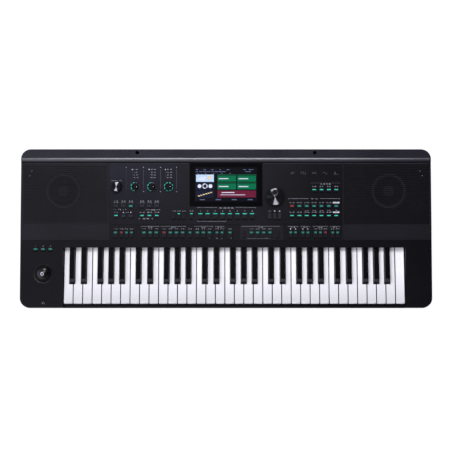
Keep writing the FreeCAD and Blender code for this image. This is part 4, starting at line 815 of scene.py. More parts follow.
for name, body, places, size, lights in BAND_WINDOWS:
    windows(name, "band", body, BAND_WINDOW_ROW, places, size, *lights)
windows("joystick_pane_lights", "block", "joystick_buttons", 145.4, BLOCK_X, (8.4, 3.6), *TEAL_PANE)
print("rows of band and block windows:", len(BAND_WINDOWS) + 1)

# %% [markdown]
# ## Printed marks
# Groups of buttons are tied together by thin printed brackets, and most buttons have a small legend, which
# is a number or a span of numbers. A bracket is a long line with a short leg at each end, and every line is
# the same tile stretched to length, so one call lays all the brackets of a face.

# %% Brackets and rules
INK_RISE = 0.06
LINE = 0.55
LEG = 2.2
DISC_CORNER = 1.0 / 2.02


def bracket(low, high, row, leg=LEG, gap=0.0):
    half = (high - low - gap) / 2
    lines = [spot(x, row, wide=half / LINE) for x in (low + half / 2, high - half / 2)]
    return lines + [spot(x, row - leg / 2, deep=abs(leg) / LINE) for x in (low, high)]


def rule(low, high, row, thick=LINE):
    return [spot((low + high) / 2, row, wide=(high - low) / LINE, deep=thick / LINE)]


def ink(name, face, spots, finish, width, depth, corner):
    return tiles(name, face, spots, finish, CASE, "panel_black", width, depth, INK_RISE, corner, 1.0)


def print_lines(name, face, spots, finish):
    return ink(name, face, spots, finish, LINE, LINE, 0.0)


def print_dots(name, face, spots, finish, size):
    return ink(name, face, spots, finish, size, size, size * DISC_CORNER)


panel_marks = bracket(-71.2, 73.2, 39.2, gap=46.0) + bracket(-71.2, -0.3, 4.8, -LEG)
panel_marks += bracket(155.0, 281.3, 61.2, gap=28.0)
panel_marks += bracket(-197.8, -163.7, 34.0)
for x in STYLE_X:
    panel_marks += bracket(x - 4.6, x + 4.6, 52.0, 2.4)
print_lines("panel_brackets", "panel", panel_marks, ink_grey)
print_lines("part_bracket", "panel", bracket(210.0, 281.0, 99.7), ink_dim)

BAND_GROUPS = ((-209.3, -166.2), (-160.3, -100.2), (-78.4, -33.4), (-26.7, -5.5), (39.5, 131.3),
               (153.3, 177.6), (185.2, 207.5), (215.6, 250.8), (257.9, 281.2))
band_marks = []
for low, high in BAND_GROUPS:
    band_marks += bracket(low, high, 30.9)
band_marks += rule(53.2, 110.1, 0.9)
print_lines("band_brackets", "band", band_marks, ink_grey)
print("bracket lines:", len(panel_marks) + len(band_marks))

# %% Separators, boxes and white marks
SEPARATORS = (-246.6, -204.0, -161.9, -122.1)
POST_WIDTH, POST_LENGTH, POST_V = 0.9, 48.0, 109.0
BOX_X, BOX_ROWS = 272.4, (51.2, 27.4)
CURSOR_MARK_ROW = 30.2
BAND_MARK_ROW = 24.4

posts = [spot(x, POST_V, wide=POST_WIDTH / LINE, deep=POST_LENGTH / LINE) for x in SEPARATORS]
print_lines("knob_separator", "panel", posts[:1], sheen_and_faint_ink)
print_lines("knob_separators", "panel", posts[1:], ink_dim)
ends = [spot(x, 138.5) for x in SEPARATORS] + [spot(x, 78.7) for x in SEPARATORS[1:]]
ends += [spot(-214.0, 11.7), spot(-183.0, 11.7)]
print_dots("separator_dots", "panel", ends, ink_light, 1.9)
boxes = [spot(BOX_X, BOX_ROWS[0]), spot(BOX_X, BOX_ROWS[1], deep=0.9)]
ink("voice_white_boxes", "panel", boxes, ink_white, 16.0, 3.5, 0.5)
whites = [spot(x, CURSOR_MARK_ROW) for x in CURSOR_X[1:]] + [spot(-253.7, 27.1), spot(-235.3, 27.1)]
print_dots("panel_white_dots", "panel", whites, ink_white, 2.7)
print_dots("voice_box_dot", "panel", [spot(BOX_X, 31.9)], ink_light, 1.8)
ink("cursor_mark", "panel", [spot(CURSOR_X[0], CURSOR_MARK_ROW)], ink_dim, 6.2, 2.6, 0.3)
band_whites = [spot(x, BAND_MARK_ROW, wide=1.35) for x in FUNCTION_NARROW[:4]]
print_dots("band_white_dots", "band", band_whites, ink_white, 2.1)
foot_x = [RHYTHM_WIDE[9], RHYTHM_NARROW[1] - 1.6, RHYTHM_NARROW[1] + 1.6, RHYTHM_NARROW[2],
          RHYTHM_WIDE[10] - 3.0, RHYTHM_WIDE[10] + 3.0]
feet = [spot(x, 1.3, wide=1.5, deep=0.62) for x in foot_x]
print_dots("band_foot_marks", "band", feet, ink_white, 1.9)
print("separators:", len(posts), "white marks:", len(whites) + len(band_whites) + len(feet))

# %% [markdown]
# The rear edges of the panel and the grilles catch the lamp behind the ridge. A hair-thin lighter line along
# them is a painted highlight for that rounded edge.

# %% Rear edge lines
EDGE_V = 147.6
edges = rule(-287.0, -92.0, EDGE_V, 1.0) + rule(92.0, 287.0, EDGE_V, 1.0)
edges += rule(-500.0, -292.0, EDGE_V, 0.8) + rule(292.0, 500.0, EDGE_V, 0.8)
print_lines("rear_edge_lines", "panel", edges, sheen_and_faint_ink)
print("edge lines:", len(edges))

# %% [markdown]
# Every cap drops a short dark shadow towards the player, where its front wall meets the panel. That shadow is
# painted: a near-black strip lies in front of each cap.

# %% Shadow strips in front of the caps
SHADOW_DEPTH, SHADOW_CORNER = 1.9, 0.3
CAP_GAP = 0.4
BLOCK_ROW = 145.0
SMALL_CAP, REGISTER_CAP, SIDE_CAP = (11.0, 7.5), (12.2, 14.5), (8.0, 14.5)
BAND_CAP, BAND_NARROW_CAP = (11.0, 16.5), (8.2, 16.5)
BAND_WIDE_X = TRANSPORT_WIDE + RHYTHM_WIDE + TEMPO_WIDE
BAND_NARROW_X = TRANSPORT_NARROW + RHYTHM_NARROW + TEMPO_NARROW + FUNCTION_NARROW
CAP_SHADOWS = (
    ("row_one_shadows", "panel", ROW_ONE, STYLE_X + VOICE_X, SMALL_CAP),
    ("row_two_shadows", "panel", ROW_TWO, STYLE_X + VOICE_X, SMALL_CAP),
    ("part_shadows", "panel", PART_ROW, VOICE_X[3:], SMALL_CAP),
    ("register_shadows", "panel", ROW_ONE, REGISTER_X, REGISTER_CAP),
    ("side_shadows", "panel", ROW_ONE, SIDE_X + CURSOR_X, SIDE_CAP),
    ("band_shadows", "band", BAND_ROW, BAND_WIDE_X, BAND_CAP),
    ("band_narrow_shadows", "band", BAND_ROW, BAND_NARROW_X, BAND_NARROW_CAP),
    ("block_shadows", "block", BLOCK_ROW, BLOCK_X, SMALL_CAP),
)
for name, face, row, places, (cap_width, cap_depth) in CAP_SHADOWS:
    front = row - cap_depth / 2 - CAP_GAP - SHADOW_DEPTH / 2
    strips = [spot(x, front) for x in places]
    ink(name, face, strips, shadow_and_print_black, cap_width, SHADOW_DEPTH, SHADOW_CORNER)
print("rows of shadow strips:", len(CAP_SHADOWS))

# %% [markdown]
# The numbers are made with Blender's text object, turned into a mesh while it still lies flat, and joined
# into one piece for each face. They sit a hair above the face so they never fight with it for the same depth.

# %% Number legends
DIGIT_THICK = 0.03
BOLD = 0.05
FONT_SIZE = 1.38


def digits(name, face, entries, finish, align="CENTER", lift=0.0):
    flat = bpy.data.meshes.new(name)
    sheet = bmesh.new()
    for label, x, v, height in entries:
        text = bpy.data.curves.new("legend", "FONT")
        text.body = label
        text.size = height * FONT_SIZE
        text.align_x, text.align_y = align, "CENTER"
        text.extrude = DIGIT_THICK
        text.offset = BOLD
        text.resolution_u = 2
        holder = bpy.data.objects.new("legend", text)
        bpy.context.scene.collection.objects.link(holder)
        bpy.context.view_layer.update()
        graph = bpy.context.evaluated_depsgraph_get()
        word = bpy.data.meshes.new_from_object(holder.evaluated_get(graph))
        word.transform(Matrix.Translation((x, v, DIGIT_THICK + lift)))
        sheet.from_mesh(word)
        bpy.data.objects.remove(holder)
        bpy.data.curves.remove(text)
        bpy.data.meshes.remove(word)
    sheet.to_mesh(flat)
    sheet.free()
    flat.materials.append(finish)
    return keep_piece(name, flat, lie_on(face), CASE)


def numbered(places, row, height, first=1):
    return [(str(first + i), x, row, height) for i, x in enumerate(places)]


def spans(places, row, height, first, each=8):
    starts = [first + each * i for i in range(len(places))]
    return [(f"{a} - {a + each - 1}", x, row, height) for a, x in zip(starts, places)]


print("number tools ready")

# %% The numbers
strong = numbered(REGISTER_X, 30.0, 3.2) + spans(STYLE_X, 54.9, 2.3, 11) + spans(VOICE_X[:6], 27.4, 2.3, 101)
strong += spans(STYLE_X[3:], 27.1, 2.2, 101) + spans([-244.5], 27.1, 2.0, 11, 4)
strong += [("9 - 16", -263.6, 34.4, 2.2)]
strong += spans(VOICE_X[3:], 91.0, 2.3, 11) + spans([-198.5], 11.7, 2.4, 1001, 128)
strong += spans([-180.8], 32.4, 2.2, 11) + spans(SIDE_X, 30.2, 2.1, 11, 4)
strong += [("1001 - 1128  1129 - 1256", 1.0, 38.0, 2.5), ("11 - 18  19 - 42", 245.6, 97.0, 2.9)]
digits("panel_numbers", "panel", strong, ink_light)
faint = spans(VOICE_X[:6], 51.1, 2.3, 201) + spans(VOICE_X[2:6], 31.6, 2.0, 11)
faint += [("1 - 8", -275.0, 34.4, 2.2), ("17 - 24", -251.5, 34.4, 2.2), ("11 - 18", STYLE_X[0], 27.1, 2.2)]
faint += spans([218.1], 60.8, 2.5, 1001, 256)
digits("panel_faint_numbers", "panel", faint, ink_grey)
dark = [(str(301 + k), BOX_X, row, 2.4) for k, row in enumerate(BOX_ROWS)]
digits("voice_box_numbers", "panel", dark, shadow_and_print_black, lift=INK_RISE)
band_numbers = []
for places in (sorted(TRANSPORT_WIDE + TRANSPORT_NARROW), sorted(RHYTHM_WIDE + RHYTHM_NARROW), TEMPO_WIDE,
               FUNCTION_NARROW[4:]):
    band_numbers += spans(places, BAND_MARK_ROW, 1.9, 11, 4)
band_numbers += spans([(low + high) / 2 for low, high in BAND_GROUPS], 28.4, 2.0, 101)
digits("band_numbers", "band", band_numbers, ink_light)
digits("block_numbers", "block", numbered(BLOCK_X, 152.8, 2.6), ink_grey)
print("numbers:", len(strong) + len(faint) + len(dark) + len(band_numbers) + len(BLOCK_X))

# %% [markdown]
# ## The screen picture
# The display is on, so the black pane shows tiles of colour: status lines on top, a column of three small
# picture tiles, four green tiles, a crimson progress band and a row of dashes.
# Each tile is a very thin block, so it stays a solid with a clear outside, and its finish glows.

# %% Screen tiles
LENS_TOP = 0.5
GLASS = 0.08
FIELD_LIFT, TILE_LIFT, SHAPE_LIFT = -0.04, 0.05, 0.1
BORDER_WIDTH, BORDER_DEPTH, BORDER_V = 180.2, 107.4, 95.45
GREEN = [(x, v) for x in (2.0, 51.0) for v in (112.0, 92.6)]
STATUS_ROWS = (132.6, 127.8, 123.6)
STATUS_LEFT, STATUS_STEP = -72.0, 9.6


def screen(name, spots, finish, width, depth, lift, corner=0.3):
    raised = [((x, v, LENS_TOP + lift), turn, stretch) for (x, v, _), turn, stretch in spots]
    return tiles(name, "panel", raised, finish, CASE, "display_glass", width, depth, GLASS, corner, 1.0)


tiles("lens_border", "panel", [spot(0.0, BORDER_V)], lens_black, CASE, "display_glass", BORDER_WIDTH,
      BORDER_DEPTH, 0.3, 1.5, 0.998)
screen("screen_field", [spot(0.0, 96.0)], screen_navy, 154.0, 84.0, FIELD_LIFT, 0.8)
screen("screen_green_tiles", [spot(x, v) for x, v in GREEN], screen_green, 46.0, 17.6, TILE_LIFT)
screen("screen_green_heads", [spot(x, v + 6.6) for x, v in GREEN], screen_leaf, 44.6, 3.6, SHAPE_LIFT)
screen("screen_green_dashes", [spot(x - 8.0, v - 1.6) for x, v in GREEN], screen_pale, 24.0, 2.2, SHAPE_LIFT)
screen("screen_crimson_band", [spot(26.5, 72.6)], screen_crimson, 95.0, 17.0, TILE_LIFT)
progress = [spot(5.0, 76.2), spot(17.0, 70.4, wide=1.9, deep=0.6)]
screen("screen_progress", progress, screen_pale, 32.0, 2.0, SHAPE_LIFT)
top, middle, bottom = STATUS_ROWS
status = [spot(STATUS_LEFT + STATUS_STEP * k, top, wide=1.0 if k % 3 else 0.6) for k in range(0, 9, 2)]
status += [spot(STATUS_LEFT + STATUS_STEP * k, middle, wide=1.2 if k % 4 else 0.7) for k in range(8)]
status += [spot(-70.0 + 20.0 * k, bottom, wide=0.5) for k in range(5)]
status += [spot(62.0, top, wide=1.6), spot(46.0, top), spot(54.0, middle, wide=2.0)]
screen("screen_status", status, screen_mist, 7.0, 1.7, TILE_LIFT)
foot = [spot(-58.5 + 39.4 * k, 58.6) for k in range(4)]
screen("screen_foot", foot, screen_mist, 12.5, 2.3, TILE_LIFT)
print("status marks:", len(status), "foot marks:", len(foot))

# %% [markdown]
# The left column shows three small tiles: a sun over clouds, a ring between two discs, and a flight of
# steps. The ring uses the arc tree, the rest are tiles with other corners, turns and stretches.

# %% Shapes on the screen
LEFT_X = -52.0
SKY_V, RING_V, STEPS_V = 111.6, 92.0, 72.4
LEFT_TOP = LENS_TOP + 0.16
dim_tiles = [spot(LEFT_X, v) for v in (RING_V, STEPS_V)]
screen("screen_left_tiles", dim_tiles, screen_slate, 44.0, 18.0, TILE_LIFT)
screen("screen_sky_tile", [spot(LEFT_X, SKY_V)], screen_sky, 44.0, 18.0, TILE_LIFT)
screen("screen_sun", [spot(LEFT_X + 11.0, SKY_V + 1.0)], screen_gold, 9.0, 9.0, SHAPE_LIFT, 4.4)
clouds = [spot(LEFT_X - 9.0, SKY_V - 3.2), spot(LEFT_X - 5.0, SKY_V + 1.2, wide=0.7)]
screen("screen_clouds", clouds, screen_pale, 19.0, 3.6, SHAPE_LIFT, 1.7)
ring = [spot(LEFT_X, RING_V, LEFT_TOP, math.radians(a)) for a in (0, 120, 240)]
lay("screen_ring", "panel", ring, screen_pale, CASE, "display_glass", ARC, Radius=5.4, Sweep=math.radians(96),
    Band=2.4, Rise=GLASS)
discs = [spot(LEFT_X + dx, RING_V) for dx in (-13.5, 13.5)]
screen("screen_discs", discs, screen_pale, 9.6, 9.6, SHAPE_LIFT, 4.7)
steps = [spot(LEFT_X - 15.0 + 6.0 * k, STEPS_V - 4.6 + 1.7 * k) for k in range(6)]
screen("screen_steps", steps, screen_gold, 5.0, 2.2, SHAPE_LIFT)
print("steps:", len(steps), "discs:", len(discs), "clouds:", len(clouds))

# %% [markdown]
# ## Knobs, rings and lamps
# Each small knob stands in a ring of eight light segments. Two rings are lit halfway, the third all round.
# Above each knob four lamps show what it controls, and the top one is on. The ring segments come from the
# arc tree: all points sit at the knob's centre and only their turn differs.

# %% Light rings and selector lamps
KNOB_ROW = 90.5
VOLUME_X = -270.1
KNOB_X = {"assign_knob_left": -224.4, "assign_knob_middle": -183.3, "assign_knob_right": -141.9}
RING_SIZES = {"Radius": 10.3, "Sweep": math.radians(28), "Band": 1.7, "Rise": 0.3}
RING_LIFT = 0.02
SEGMENTS = [22.5 + 45 * k for k in range(8)]
LEFT_HALF = [a for a in SEGMENTS if 90 < a < 270]
lit, unlit = [], []
for name, x in KNOB_X.items():
    for angle in SEGMENTS:
        on = name == "assign_knob_right" or angle in LEFT_HALF
        (lit if on else unlit).append(spot(x, KNOB_ROW, RING_LIFT, math.radians(angle)))
lay("ring_lights_on", "panel", lit, teal_ring, CASE, "panel_black", ARC, **RING_SIZES)
lay("ring_lights_off", "panel", unlit, lamp_off, CASE, "panel_black", ARC, **RING_SIZES)

LAMP_X, LAMP_V = (-231.4, -189.9, -149.6), (133.1, 125.9, 119.5, 113.1)
LAMP_RISE, LAMP_TAPER = 0.35, 0.8
LABEL_SHIFT = 3.4
on = [spot(x, LAMP_V[0]) for x in LAMP_X]
off = [spot(x, v) for x in LAMP_X for v in LAMP_V[1:]]
tiles("selector_lamps_on", "panel", on, lamp_white, CASE, "panel_black", 2.4, 2.4, LAMP_RISE, 1.19,
      LAMP_TAPER)
tiles("selector_lamps_off", "panel", off, lamp_off, CASE, "panel_black", 2.0, 2.0, LAMP_RISE, 0.99,
      LAMP_TAPER)
SPANS = (("1 - 128", "1 - 64", "65 - 96", "97 - 128"),
         ("129 - 256", "129 - 192", "193 - 224", "225 - 256"),
         ("257 - 384", "257 - 320", "321 - 352", "353 - 384"))
labels = []
for x, column in zip(LAMP_X, SPANS):
    labels += [(label, x + LABEL_SHIFT, v, 2.4) for v, label in zip(LAMP_V, column)]
digits("lamp_numbers", "panel", labels, ink_grey, "LEFT")
digits("volume_numbers", "panel", [("0 1 2 3 4 5 6 7 8 9", VOLUME_X, 105.6, 2.3)], ink_grey)
print("ring segments:", len(lit) + len(unlit), "lamps:", len(on) + len(off))

# %% [markdown]
# A knob is easier to turn with ribs round its skirt. Ribs follow a simple rule, so the tile tree lays them
# too: upright strips round a circle, each turned to face outward. A pointer mark goes on top.

# %% Knob ribs and pointers
RIB_FOOT = 1.2
RIB_THICK, RIB_WIDE = 0.7, 1.0
DIAL_X, DIAL_V = 120.4, 65.5


def ribs(name, body, x, v, radius, count, tall):
    spots = []
    for k in range(count):
        angle = math.tau * k / count
        spots.append(spot(x + radius * math.cos(angle), v + radius * math.sin(angle), RIB_FOOT, angle))
    return tiles(name, "panel", spots, knob_black, body, "knob_black", RIB_THICK, RIB_WIDE, tall, 0.25, 0.8)


for body, x in KNOB_X.items():
    ribs(body + "_ribs", body, x, KNOB_ROW, radius=8.0, count=24, tall=10.5)
    pointer = [spot(x + 4.7, KNOB_ROW, 12.9)]
    tiles(body + "_pointer", "panel", pointer, ink_light, body, "knob_black", 2.8, 1.2, 0.3, 0.5, 0.9)
ribs("volume_knob_ribs", "volume_knob", VOLUME_X, KNOB_ROW, radius=12.5, count=36, tall=11.0)
ribs("data_dial_ribs", "data_dial", DIAL_X, DIAL_V, radius=23.0, count=72, tall=5.6)
print("ribbed knobs:", len(KNOB_X) + 2)

# %% [markdown]
# ## Spun metal caps
# The dial and the volume knob carry a spun metal plate. It is turned from a profile, ring by ring, and the UV
# map runs round the ring and along the radius, so the finish knows which way the lathe went. The dial's plate
# also has a hollow for a fingertip, pressed in by moving the points near it down.

# %% Turned pieces
LATHE_EDGE = math.radians(35)


def turned(profile, steps, x=0.0, v=0.0, shape=None):
    """A closed solid of revolution about w from (radius, w) pairs, with a UV map along the turning."""
    solid = bmesh.new()
    turning = solid.loops.layers.uv.new("turning")
    rings = []
    for radius, w in profile:
        if radius == 0.0:
            rings.append([solid.verts.new((x, v, w))] * steps)
            continue
        angles = [math.tau * k / steps for k in range(steps)]
        around = [(x + radius * math.cos(a), v + radius * math.sin(a), w) for a in angles]
        rings.append([solid.verts.new(point) for point in around])
    for row, (inner, outer) in enumerate(zip(rings, rings[1:])):
        for k in range(steps):
            corners = [(inner[k], k, row), (outer[k], k, row + 1),
                       (outer[(k + 1) % steps], k + 1, row + 1), (inner[(k + 1) % steps], k + 1, row)]
            unique = [c for i, c in enumerate(corners) if c[0] not in [d[0] for d in corners[:i]]]
            facet = solid.faces.new([c[0] for c in unique])
            facet.smooth = True
            for loop, (_, step, ring) in zip(facet.loops, unique):
                loop[turning].uv = (step / steps, ring / len(profile))
    if shape:
        for point in solid.verts:
            point.co.z += shape(point.co.x - x, point.co.y - v, point.co.z)
    bmesh.ops.recalc_face_normals(solid, faces=solid.faces)
    mesh = bpy.data.meshes.new("turned")
    solid.to_mesh(mesh)
    solid.free()
    mesh.set_sharp_from_angle(angle=LATHE_EDGE)
    return mesh


def turned_piece(name, place, profile, steps, finish, body, x, v=0.0, shape=None):
    mesh = turned(profile, steps, x, v, shape)
    mesh.name = name
    mesh.materials.append(finish)
    return keep_piece(name, mesh, place, body)


print("lathe ready")

# %% [markdown]
# Spinning leaves lines in circles, and a lamp draws them out into bright fans on a dark face. The finish has
# an anisotropic gloss with the tangent of the UV map. Wide lamps would smear the fans, so the fans are
# painted highlights, held in place by a colour ramp round the turning. In the finger hollow the painted fans
# give way to painted shade, dark but for a painted crescent highlight on its edge.

# %% Spun finish
SPUN_TURN = 0.25
SPUN_DARK = (0.012, 0.012, 0.014)
SPUN_DIM = (0.035, 0.035, 0.038)
SPUN_LIGHT = (0.37, 0.37, 0.39)
SPUN_ROUGH, GROOVE_DRIFT = 0.34, 0.06
GROOVES = (2.0, 90.0, 1.0)
RIM_START = 0.93


def outside(tree, spot, centre, radius):
    away = add_node(tree, "ShaderNodeVectorMath", {"operation": "DISTANCE"})
    fill(tree, away.inputs[0], spot)
    fill(tree, away.inputs[1], centre)
    return share_between(tree, away.outputs["Value"], radius * RIM_START, radius)


def spun_metal(name, fans):
    material, tree, shader, spot = new_finish(name)
    turn = add_node(tree, "ShaderNodeUVMap", {"uv_map": "turning"}).outputs["UV"]
    rings = add_node(tree, "ShaderNodeMapping", Vector=turn, Scale=GROOVES).outputs[0]
    groove = noise(tree, rings, 1.0, 3.0)
    angle = add_node(tree, "ShaderNodeSeparateXYZ", Vector=turn).outputs["X"]
    sheen = add_node(tree, "ShaderNodeValToRGB", Fac=angle)
    first, last = sheen.color_ramp.elements
    first.color = last.color = (*SPUN_DARK, 1.0)
    # Each fan is a painted highlight in the colour ramp.
    for place, half, colour in fans:
        for step, tone in ((-half, SPUN_DARK), (-half / 2, colour), (half / 2, colour), (half, SPUN_DARK)):
            sheen.color_ramp.elements.new(place + step).color = (*tone, 1.0)
    fine = two_tone(tree, groove, (0.72,) * 3, (1.0,) * 3)
    tint = blend(tree, 1.0, sheen.outputs["Color"], fine, "MULTIPLY")
    roughness = spread_value(tree, groove, SPUN_ROUGH - GROOVE_DRIFT, SPUN_ROUGH + GROOVE_DRIFT)
    grain = add_node(tree, "ShaderNodeTangent", {"direction_type": "UV_MAP", "uv_map": "turning"}).outputs[0]
    set_sockets(tree, shader, Base_Color=tint, Roughness=roughness, Tangent=grain, Metallic=1.0,
                Anisotropic=0.6, Anisotropic_Rotation=SPUN_TURN)
    return material, tree, shader, spot, tint


# Painted shade inside the finger hollow, and a painted crescent highlight along its edge.
def dished(made, centre, second, radius):
    material, tree, shader, spot, tint = made
    rim = outside(tree, spot, centre, radius)
    kept = blend(tree, rim, (*SPUN_DARK, 1.0), tint)
    moon = calculate(tree, "SUBTRACT", outside(tree, spot, second, radius), rim, clamp=True)
    set_sockets(tree, shader, Base_Color=blend(tree, moon, kept, (*SPUN_LIGHT, 1.0)))
    return material


print("spun finish ready")

# %% The dial plate and the volume cap
DISC_RADIUS, DISC_SEAT = 20.2, 19.2
DISC_LOW, DISC_LIP, DISC_HIGH = 6.8, 8.02, 8.3
DIMPLE_OUT, DIMPLE_RADIUS, DIMPLE_DEPTH = 10.6, 7.2, 0.6
MOON_SHIFT = (-0.2, 0.5)
PLATE_CHAMFER, PLATE_ROUND = 0.25, 0.2
CAP_RADIUS, CAP_LOW, CAP_HIGH = 11.2, 13.9, 14.25
# Painted highlight fans: place round the turning, half width, tone.
FANS = [(0.275, 0.08, SPUN_LIGHT), (0.5, 0.05, SPUN_DIM), (0.772, 0.07, SPUN_LIGHT)]
CAP_FANS = [(0.235, 0.075, SPUN_LIGHT), (0.735, 0.075, SPUN_LIGHT)]


def fingertip(x, y, w):
    away = math.hypot(x, y - DIMPLE_OUT) / DIMPLE_RADIUS
    return DIMPLE_DEPTH * (away * away - 1.0) if away < 1.0 and w == DISC_HIGH else 0.0


def plate_top(radius, high, rounds):
    flat = [(radius * k / rounds, high) for k in range(rounds)]
    return flat + [(radius - PLATE_CHAMFER, high), (radius, high - PLATE_ROUND)]


def on_dial(dx, dv):
    return lie_on("panel") @ Vector((DIAL_X + dx, DIAL_V + DIMPLE_OUT + dv, DISC_HIGH))


spun_dial = spun_metal("spun_dial", FANS)
spun_disc = dished(spun_dial, on_dial(0.0, 0.0), on_dial(*MOON_SHIFT), DIMPLE_RADIUS * MM)
disc_profile = plate_top(DISC_RADIUS, DISC_HIGH, 40)
disc_profile += [(DISC_RADIUS, DISC_LIP), (DISC_SEAT, DISC_LIP), (DISC_SEAT, DISC_LOW), (0.0, DISC_LOW)]
disc = turned_piece("data_dial_plate", lie_on("panel"), disc_profile, 120, spun_disc, "data_dial",
                    DIAL_X, DIAL_V, fingertip)
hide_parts("data_dial_disc")
spun_cap = spun_metal("spun_cap", CAP_FANS)[0]
cap_profile = plate_top(CAP_RADIUS, CAP_HIGH, 20) + [(CAP_RADIUS, CAP_LOW), (0.0, CAP_LOW)]
turned_piece("volume_cap", lie_on("panel"), cap_profile, 96, spun_cap, "volume_knob", VOLUME_X,
             KNOB_ROW)
print("spun plates, points in each profile:", len(disc_profile), len(cap_profile))

# %% [markdown]
# ## The joystick mark
# The black dome carries a white ring on its crown, printed on the curve. A short profile turned about the
# stick's axis follows the ball and stands a hair proud of it. It rides the stick, which leans.

# %% Ring on the dome
JOY_X, JOY_V, BALL, BALL_W = -452.8, 84.6, 18.0, -2.0


def on_ball(out, lift):
    return out, BALL_W + math.sqrt(BALL * BALL - out * out) + lift


RING_OUT = (2.5, 2.9, 3.3, 3.7, 4.1)
RING_PROUD, RING_SUNK = 0.05, -0.3
ring_profile = [on_ball(out, RING_PROUD) for out in RING_OUT]
ring_profile += [on_ball(out, RING_SUNK) for out in (RING_OUT[-1], RING_OUT[0])]
ring_profile.append(ring_profile[0])
turned_piece("joystick_ring_mark", lie_on("block"), ring_profile, 48, ink_white, "joystick_stick",
             JOY_X, JOY_V)
print("ring on the dome:", len(ring_profile), "profile points")

# %% [markdown]
# ## Small pictograms
# A headphone sign marks the socket under the front edge, and a row of wave shapes is printed beside the
# screen. The sign is one arc with a tile for each cup. The waves are line tiles, turned to follow each
# stroke and a little longer than it, so that the corners close.

# %% Headphone sign and waves
OVERLAP = 0.3
SIGN_X, SIGN_V = -453.0, 11.0
WAVE_LEFT, WAVE_STEP, WAVE_V, WAVE_SIZE = 164.0, 27.0, 124.4, 5.4


def strokes(points, x, v, scale):
    made = []
    for (ax, av), (bx, bv) in zip(points, points[1:]):
        long = math.hypot(bx - ax, bv - av) * scale
        made.append(spot(x + (ax + bx) / 2 * scale, v + (av + bv) / 2 * scale, 0.0,
                         math.atan2(bv - av, bx - ax), (long + OVERLAP) / LINE))
    return made


band = [spot(SIGN_X, SIGN_V, 0.03, math.radians(90))]
lay("headphone_band", "block", band, ink_grey, CASE, "case_black", ARC, Radius=2.6, Sweep=math.radians(190),
    Band=0.6, Rise=INK_RISE)
cups = [spot(SIGN_X - 2.5, SIGN_V - 1.2), spot(SIGN_X + 2.5, SIGN_V - 1.2)]
tiles("headphone_cups", "block", cups, ink_grey, CASE, "case_black", 1.3, 2.6, INK_RISE, 0.4, 1.0)

WAVES = {
    "saw": [(-1.0, -0.5), (0.0, 0.5), (0.0, -0.5), (1.0, 0.5)],
    "square": [(-1.0, -0.5), (-1.0, 0.5), (0.0, 0.5), (0.0, -0.5), (1.0, -0.5), (1.0, 0.5)],
    "triangle": [(-1.0, -0.5), (-0.5, 0.5), (0.0, -0.5), (0.5, 0.5), (1.0, -0.5)],
    "sine": [(-1.0 + 0.125 * k, 0.5 * math.sin(math.tau * k / 16)) for k in range(17)],
    "pulse": [(-1.0, -0.5), (-0.6, -0.5), (-0.6, 0.5), (-0.3, 0.5), (-0.3, -0.5), (1.0, -0.5)],
}
wave_lines = []
for k, points in enumerate(WAVES.values()):
    wave_lines += strokes(points, WAVE_LEFT + WAVE_STEP * k, WAVE_V, WAVE_SIZE)
print_lines("wave_signs", "panel", wave_lines, ink_soft)
print("waves:", ", ".join(WAVES), "in strokes:", len(wave_lines))

# %% [markdown]
# ## Behind the grilles
# A dark cloth hangs under the slats and keeps dust out of the speaker. It is a thin turned disc over the
# opening, just under the slats. It hides the cone, so its own finish paints, as lighter rings, the faint
# highlights on the rim and the cap that show through such a cloth. Two small screws hold each grille near
# its outer rear corner.

# %% Dust cloth and grille screws
SPEAKERS = {"left": -402.5, "right": 402.5}
SPEAKER_V = 80.0
CLOTH_TONE = (0.0090, 0.0088, 0.0110)
RIM_HIGHLIGHT_TONE, RIM_INNER, RIM_OUTER = (0.030, 0.030, 0.035), 0.038, 0.044
CAP_HIGHLIGHT_TONE, CAP_INNER, CAP_OUTER = (0.022, 0.022, 0.026), 0.001, 0.014
CLOTH_TOP, CLOTH_FOOT = -2.3, -2.6
CLOTH = [(0.0, CLOTH_TOP), (44.5, CLOTH_TOP), (45.6, CLOTH_TOP), (45.6, CLOTH_FOOT), (0.0, CLOTH_FOOT)]
HEAD = [(0.0, 0.45), (0.7, 0.4), (1.1, 0.25), (1.25, 0.0), (1.25, -0.4), (0.0, -0.4)]
SCREWS = ((77.2, 129.4), (82.5, 117.4))


def ring_glimpse(centre, inner, outer):
    def mask(tree, spot):
        past_inner = outside(tree, spot, centre, inner)
        return calculate(tree, "SUBTRACT", past_inner, outside(tree, spot, centre, outer), clamp=True)
    return mask


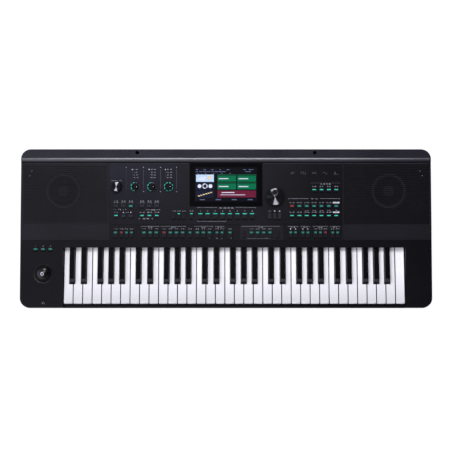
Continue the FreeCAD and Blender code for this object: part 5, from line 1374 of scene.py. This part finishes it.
for side, x in SPEAKERS.items():
    centre = lie_on("panel") @ Vector((x, SPEAKER_V, CLOTH_TOP))
    # The lighter rings on the cloth are painted highlights of the speaker's rim and dust cap behind it.
    cloth = moulded(f"{side}_cloth", CLOTH_TONE, 0.75, 0.0008, 0.00005, 0.1,
                    layers=[(ring_glimpse(centre, RIM_INNER, RIM_OUTER), RIM_HIGHLIGHT_TONE),
                            (ring_glimpse(centre, CAP_INNER, CAP_OUTER), CAP_HIGHLIGHT_TONE)])
    turned_piece(f"{side}_dust_cloth", lie_on("panel"), CLOTH, 96, cloth, CASE, x, SPEAKER_V)
    outward = -1.0 if x < 0 else 1.0
    for k, (out, v) in enumerate(SCREWS):
        turned_piece(f"{side}_grille_screw_{k + 1}", lie_on("panel"), HEAD, 20, dark_zinc, CASE,
                     x + outward * out, v)
print("dust cloths and grille screws:", len(SPEAKERS) * (1 + len(SCREWS)))

# %% [markdown]
# ## The back
# Five jack sockets look out of the rear plate. Each is held by a nickel ring nut over a thin washer, both
# turned about the socket's own axis, which points straight back.

# %% Ring nuts at the rear
JACK_PLATE_WIDTH = 290.0
JACK_X = [share * JACK_PLATE_WIDTH for share in (-0.12, 0.0, 0.12, 0.26, 0.38)]
JACK_Z, PLATE_Y = 74.0, 192.0
FACING_BACK = Matrix.Translation((0.0, PLATE_Y, JACK_Z)) @ Matrix.Rotation(math.radians(-90), 4, "X")
BEHIND = Matrix.Scale(MM, 4) @ FACING_BACK
NUT = [(4.0, -0.2), (4.0, 1.6), (4.4, 1.9), (5.2, 1.9), (5.8, 1.4), (5.8, 0.6), (6.6, 0.6), (6.8, 0.4),
       (6.8, -0.2)]
for k, x in enumerate(JACK_X):
    turned_piece(f"jack_nut_{k + 1}", BEHIND, NUT + NUT[:1], 36, nickel, CASE, x)
print("ring nuts:", len(JACK_X))

# %% [markdown]
# ## Sizes
# The dressed model must not outgrow the CAD model, so the box of the dressed model is printed.

# %% Print the dressed box
low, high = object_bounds()
print("dressed box in mm:", [round((b - a) / MM, 1) for a, b in zip(low, high)])
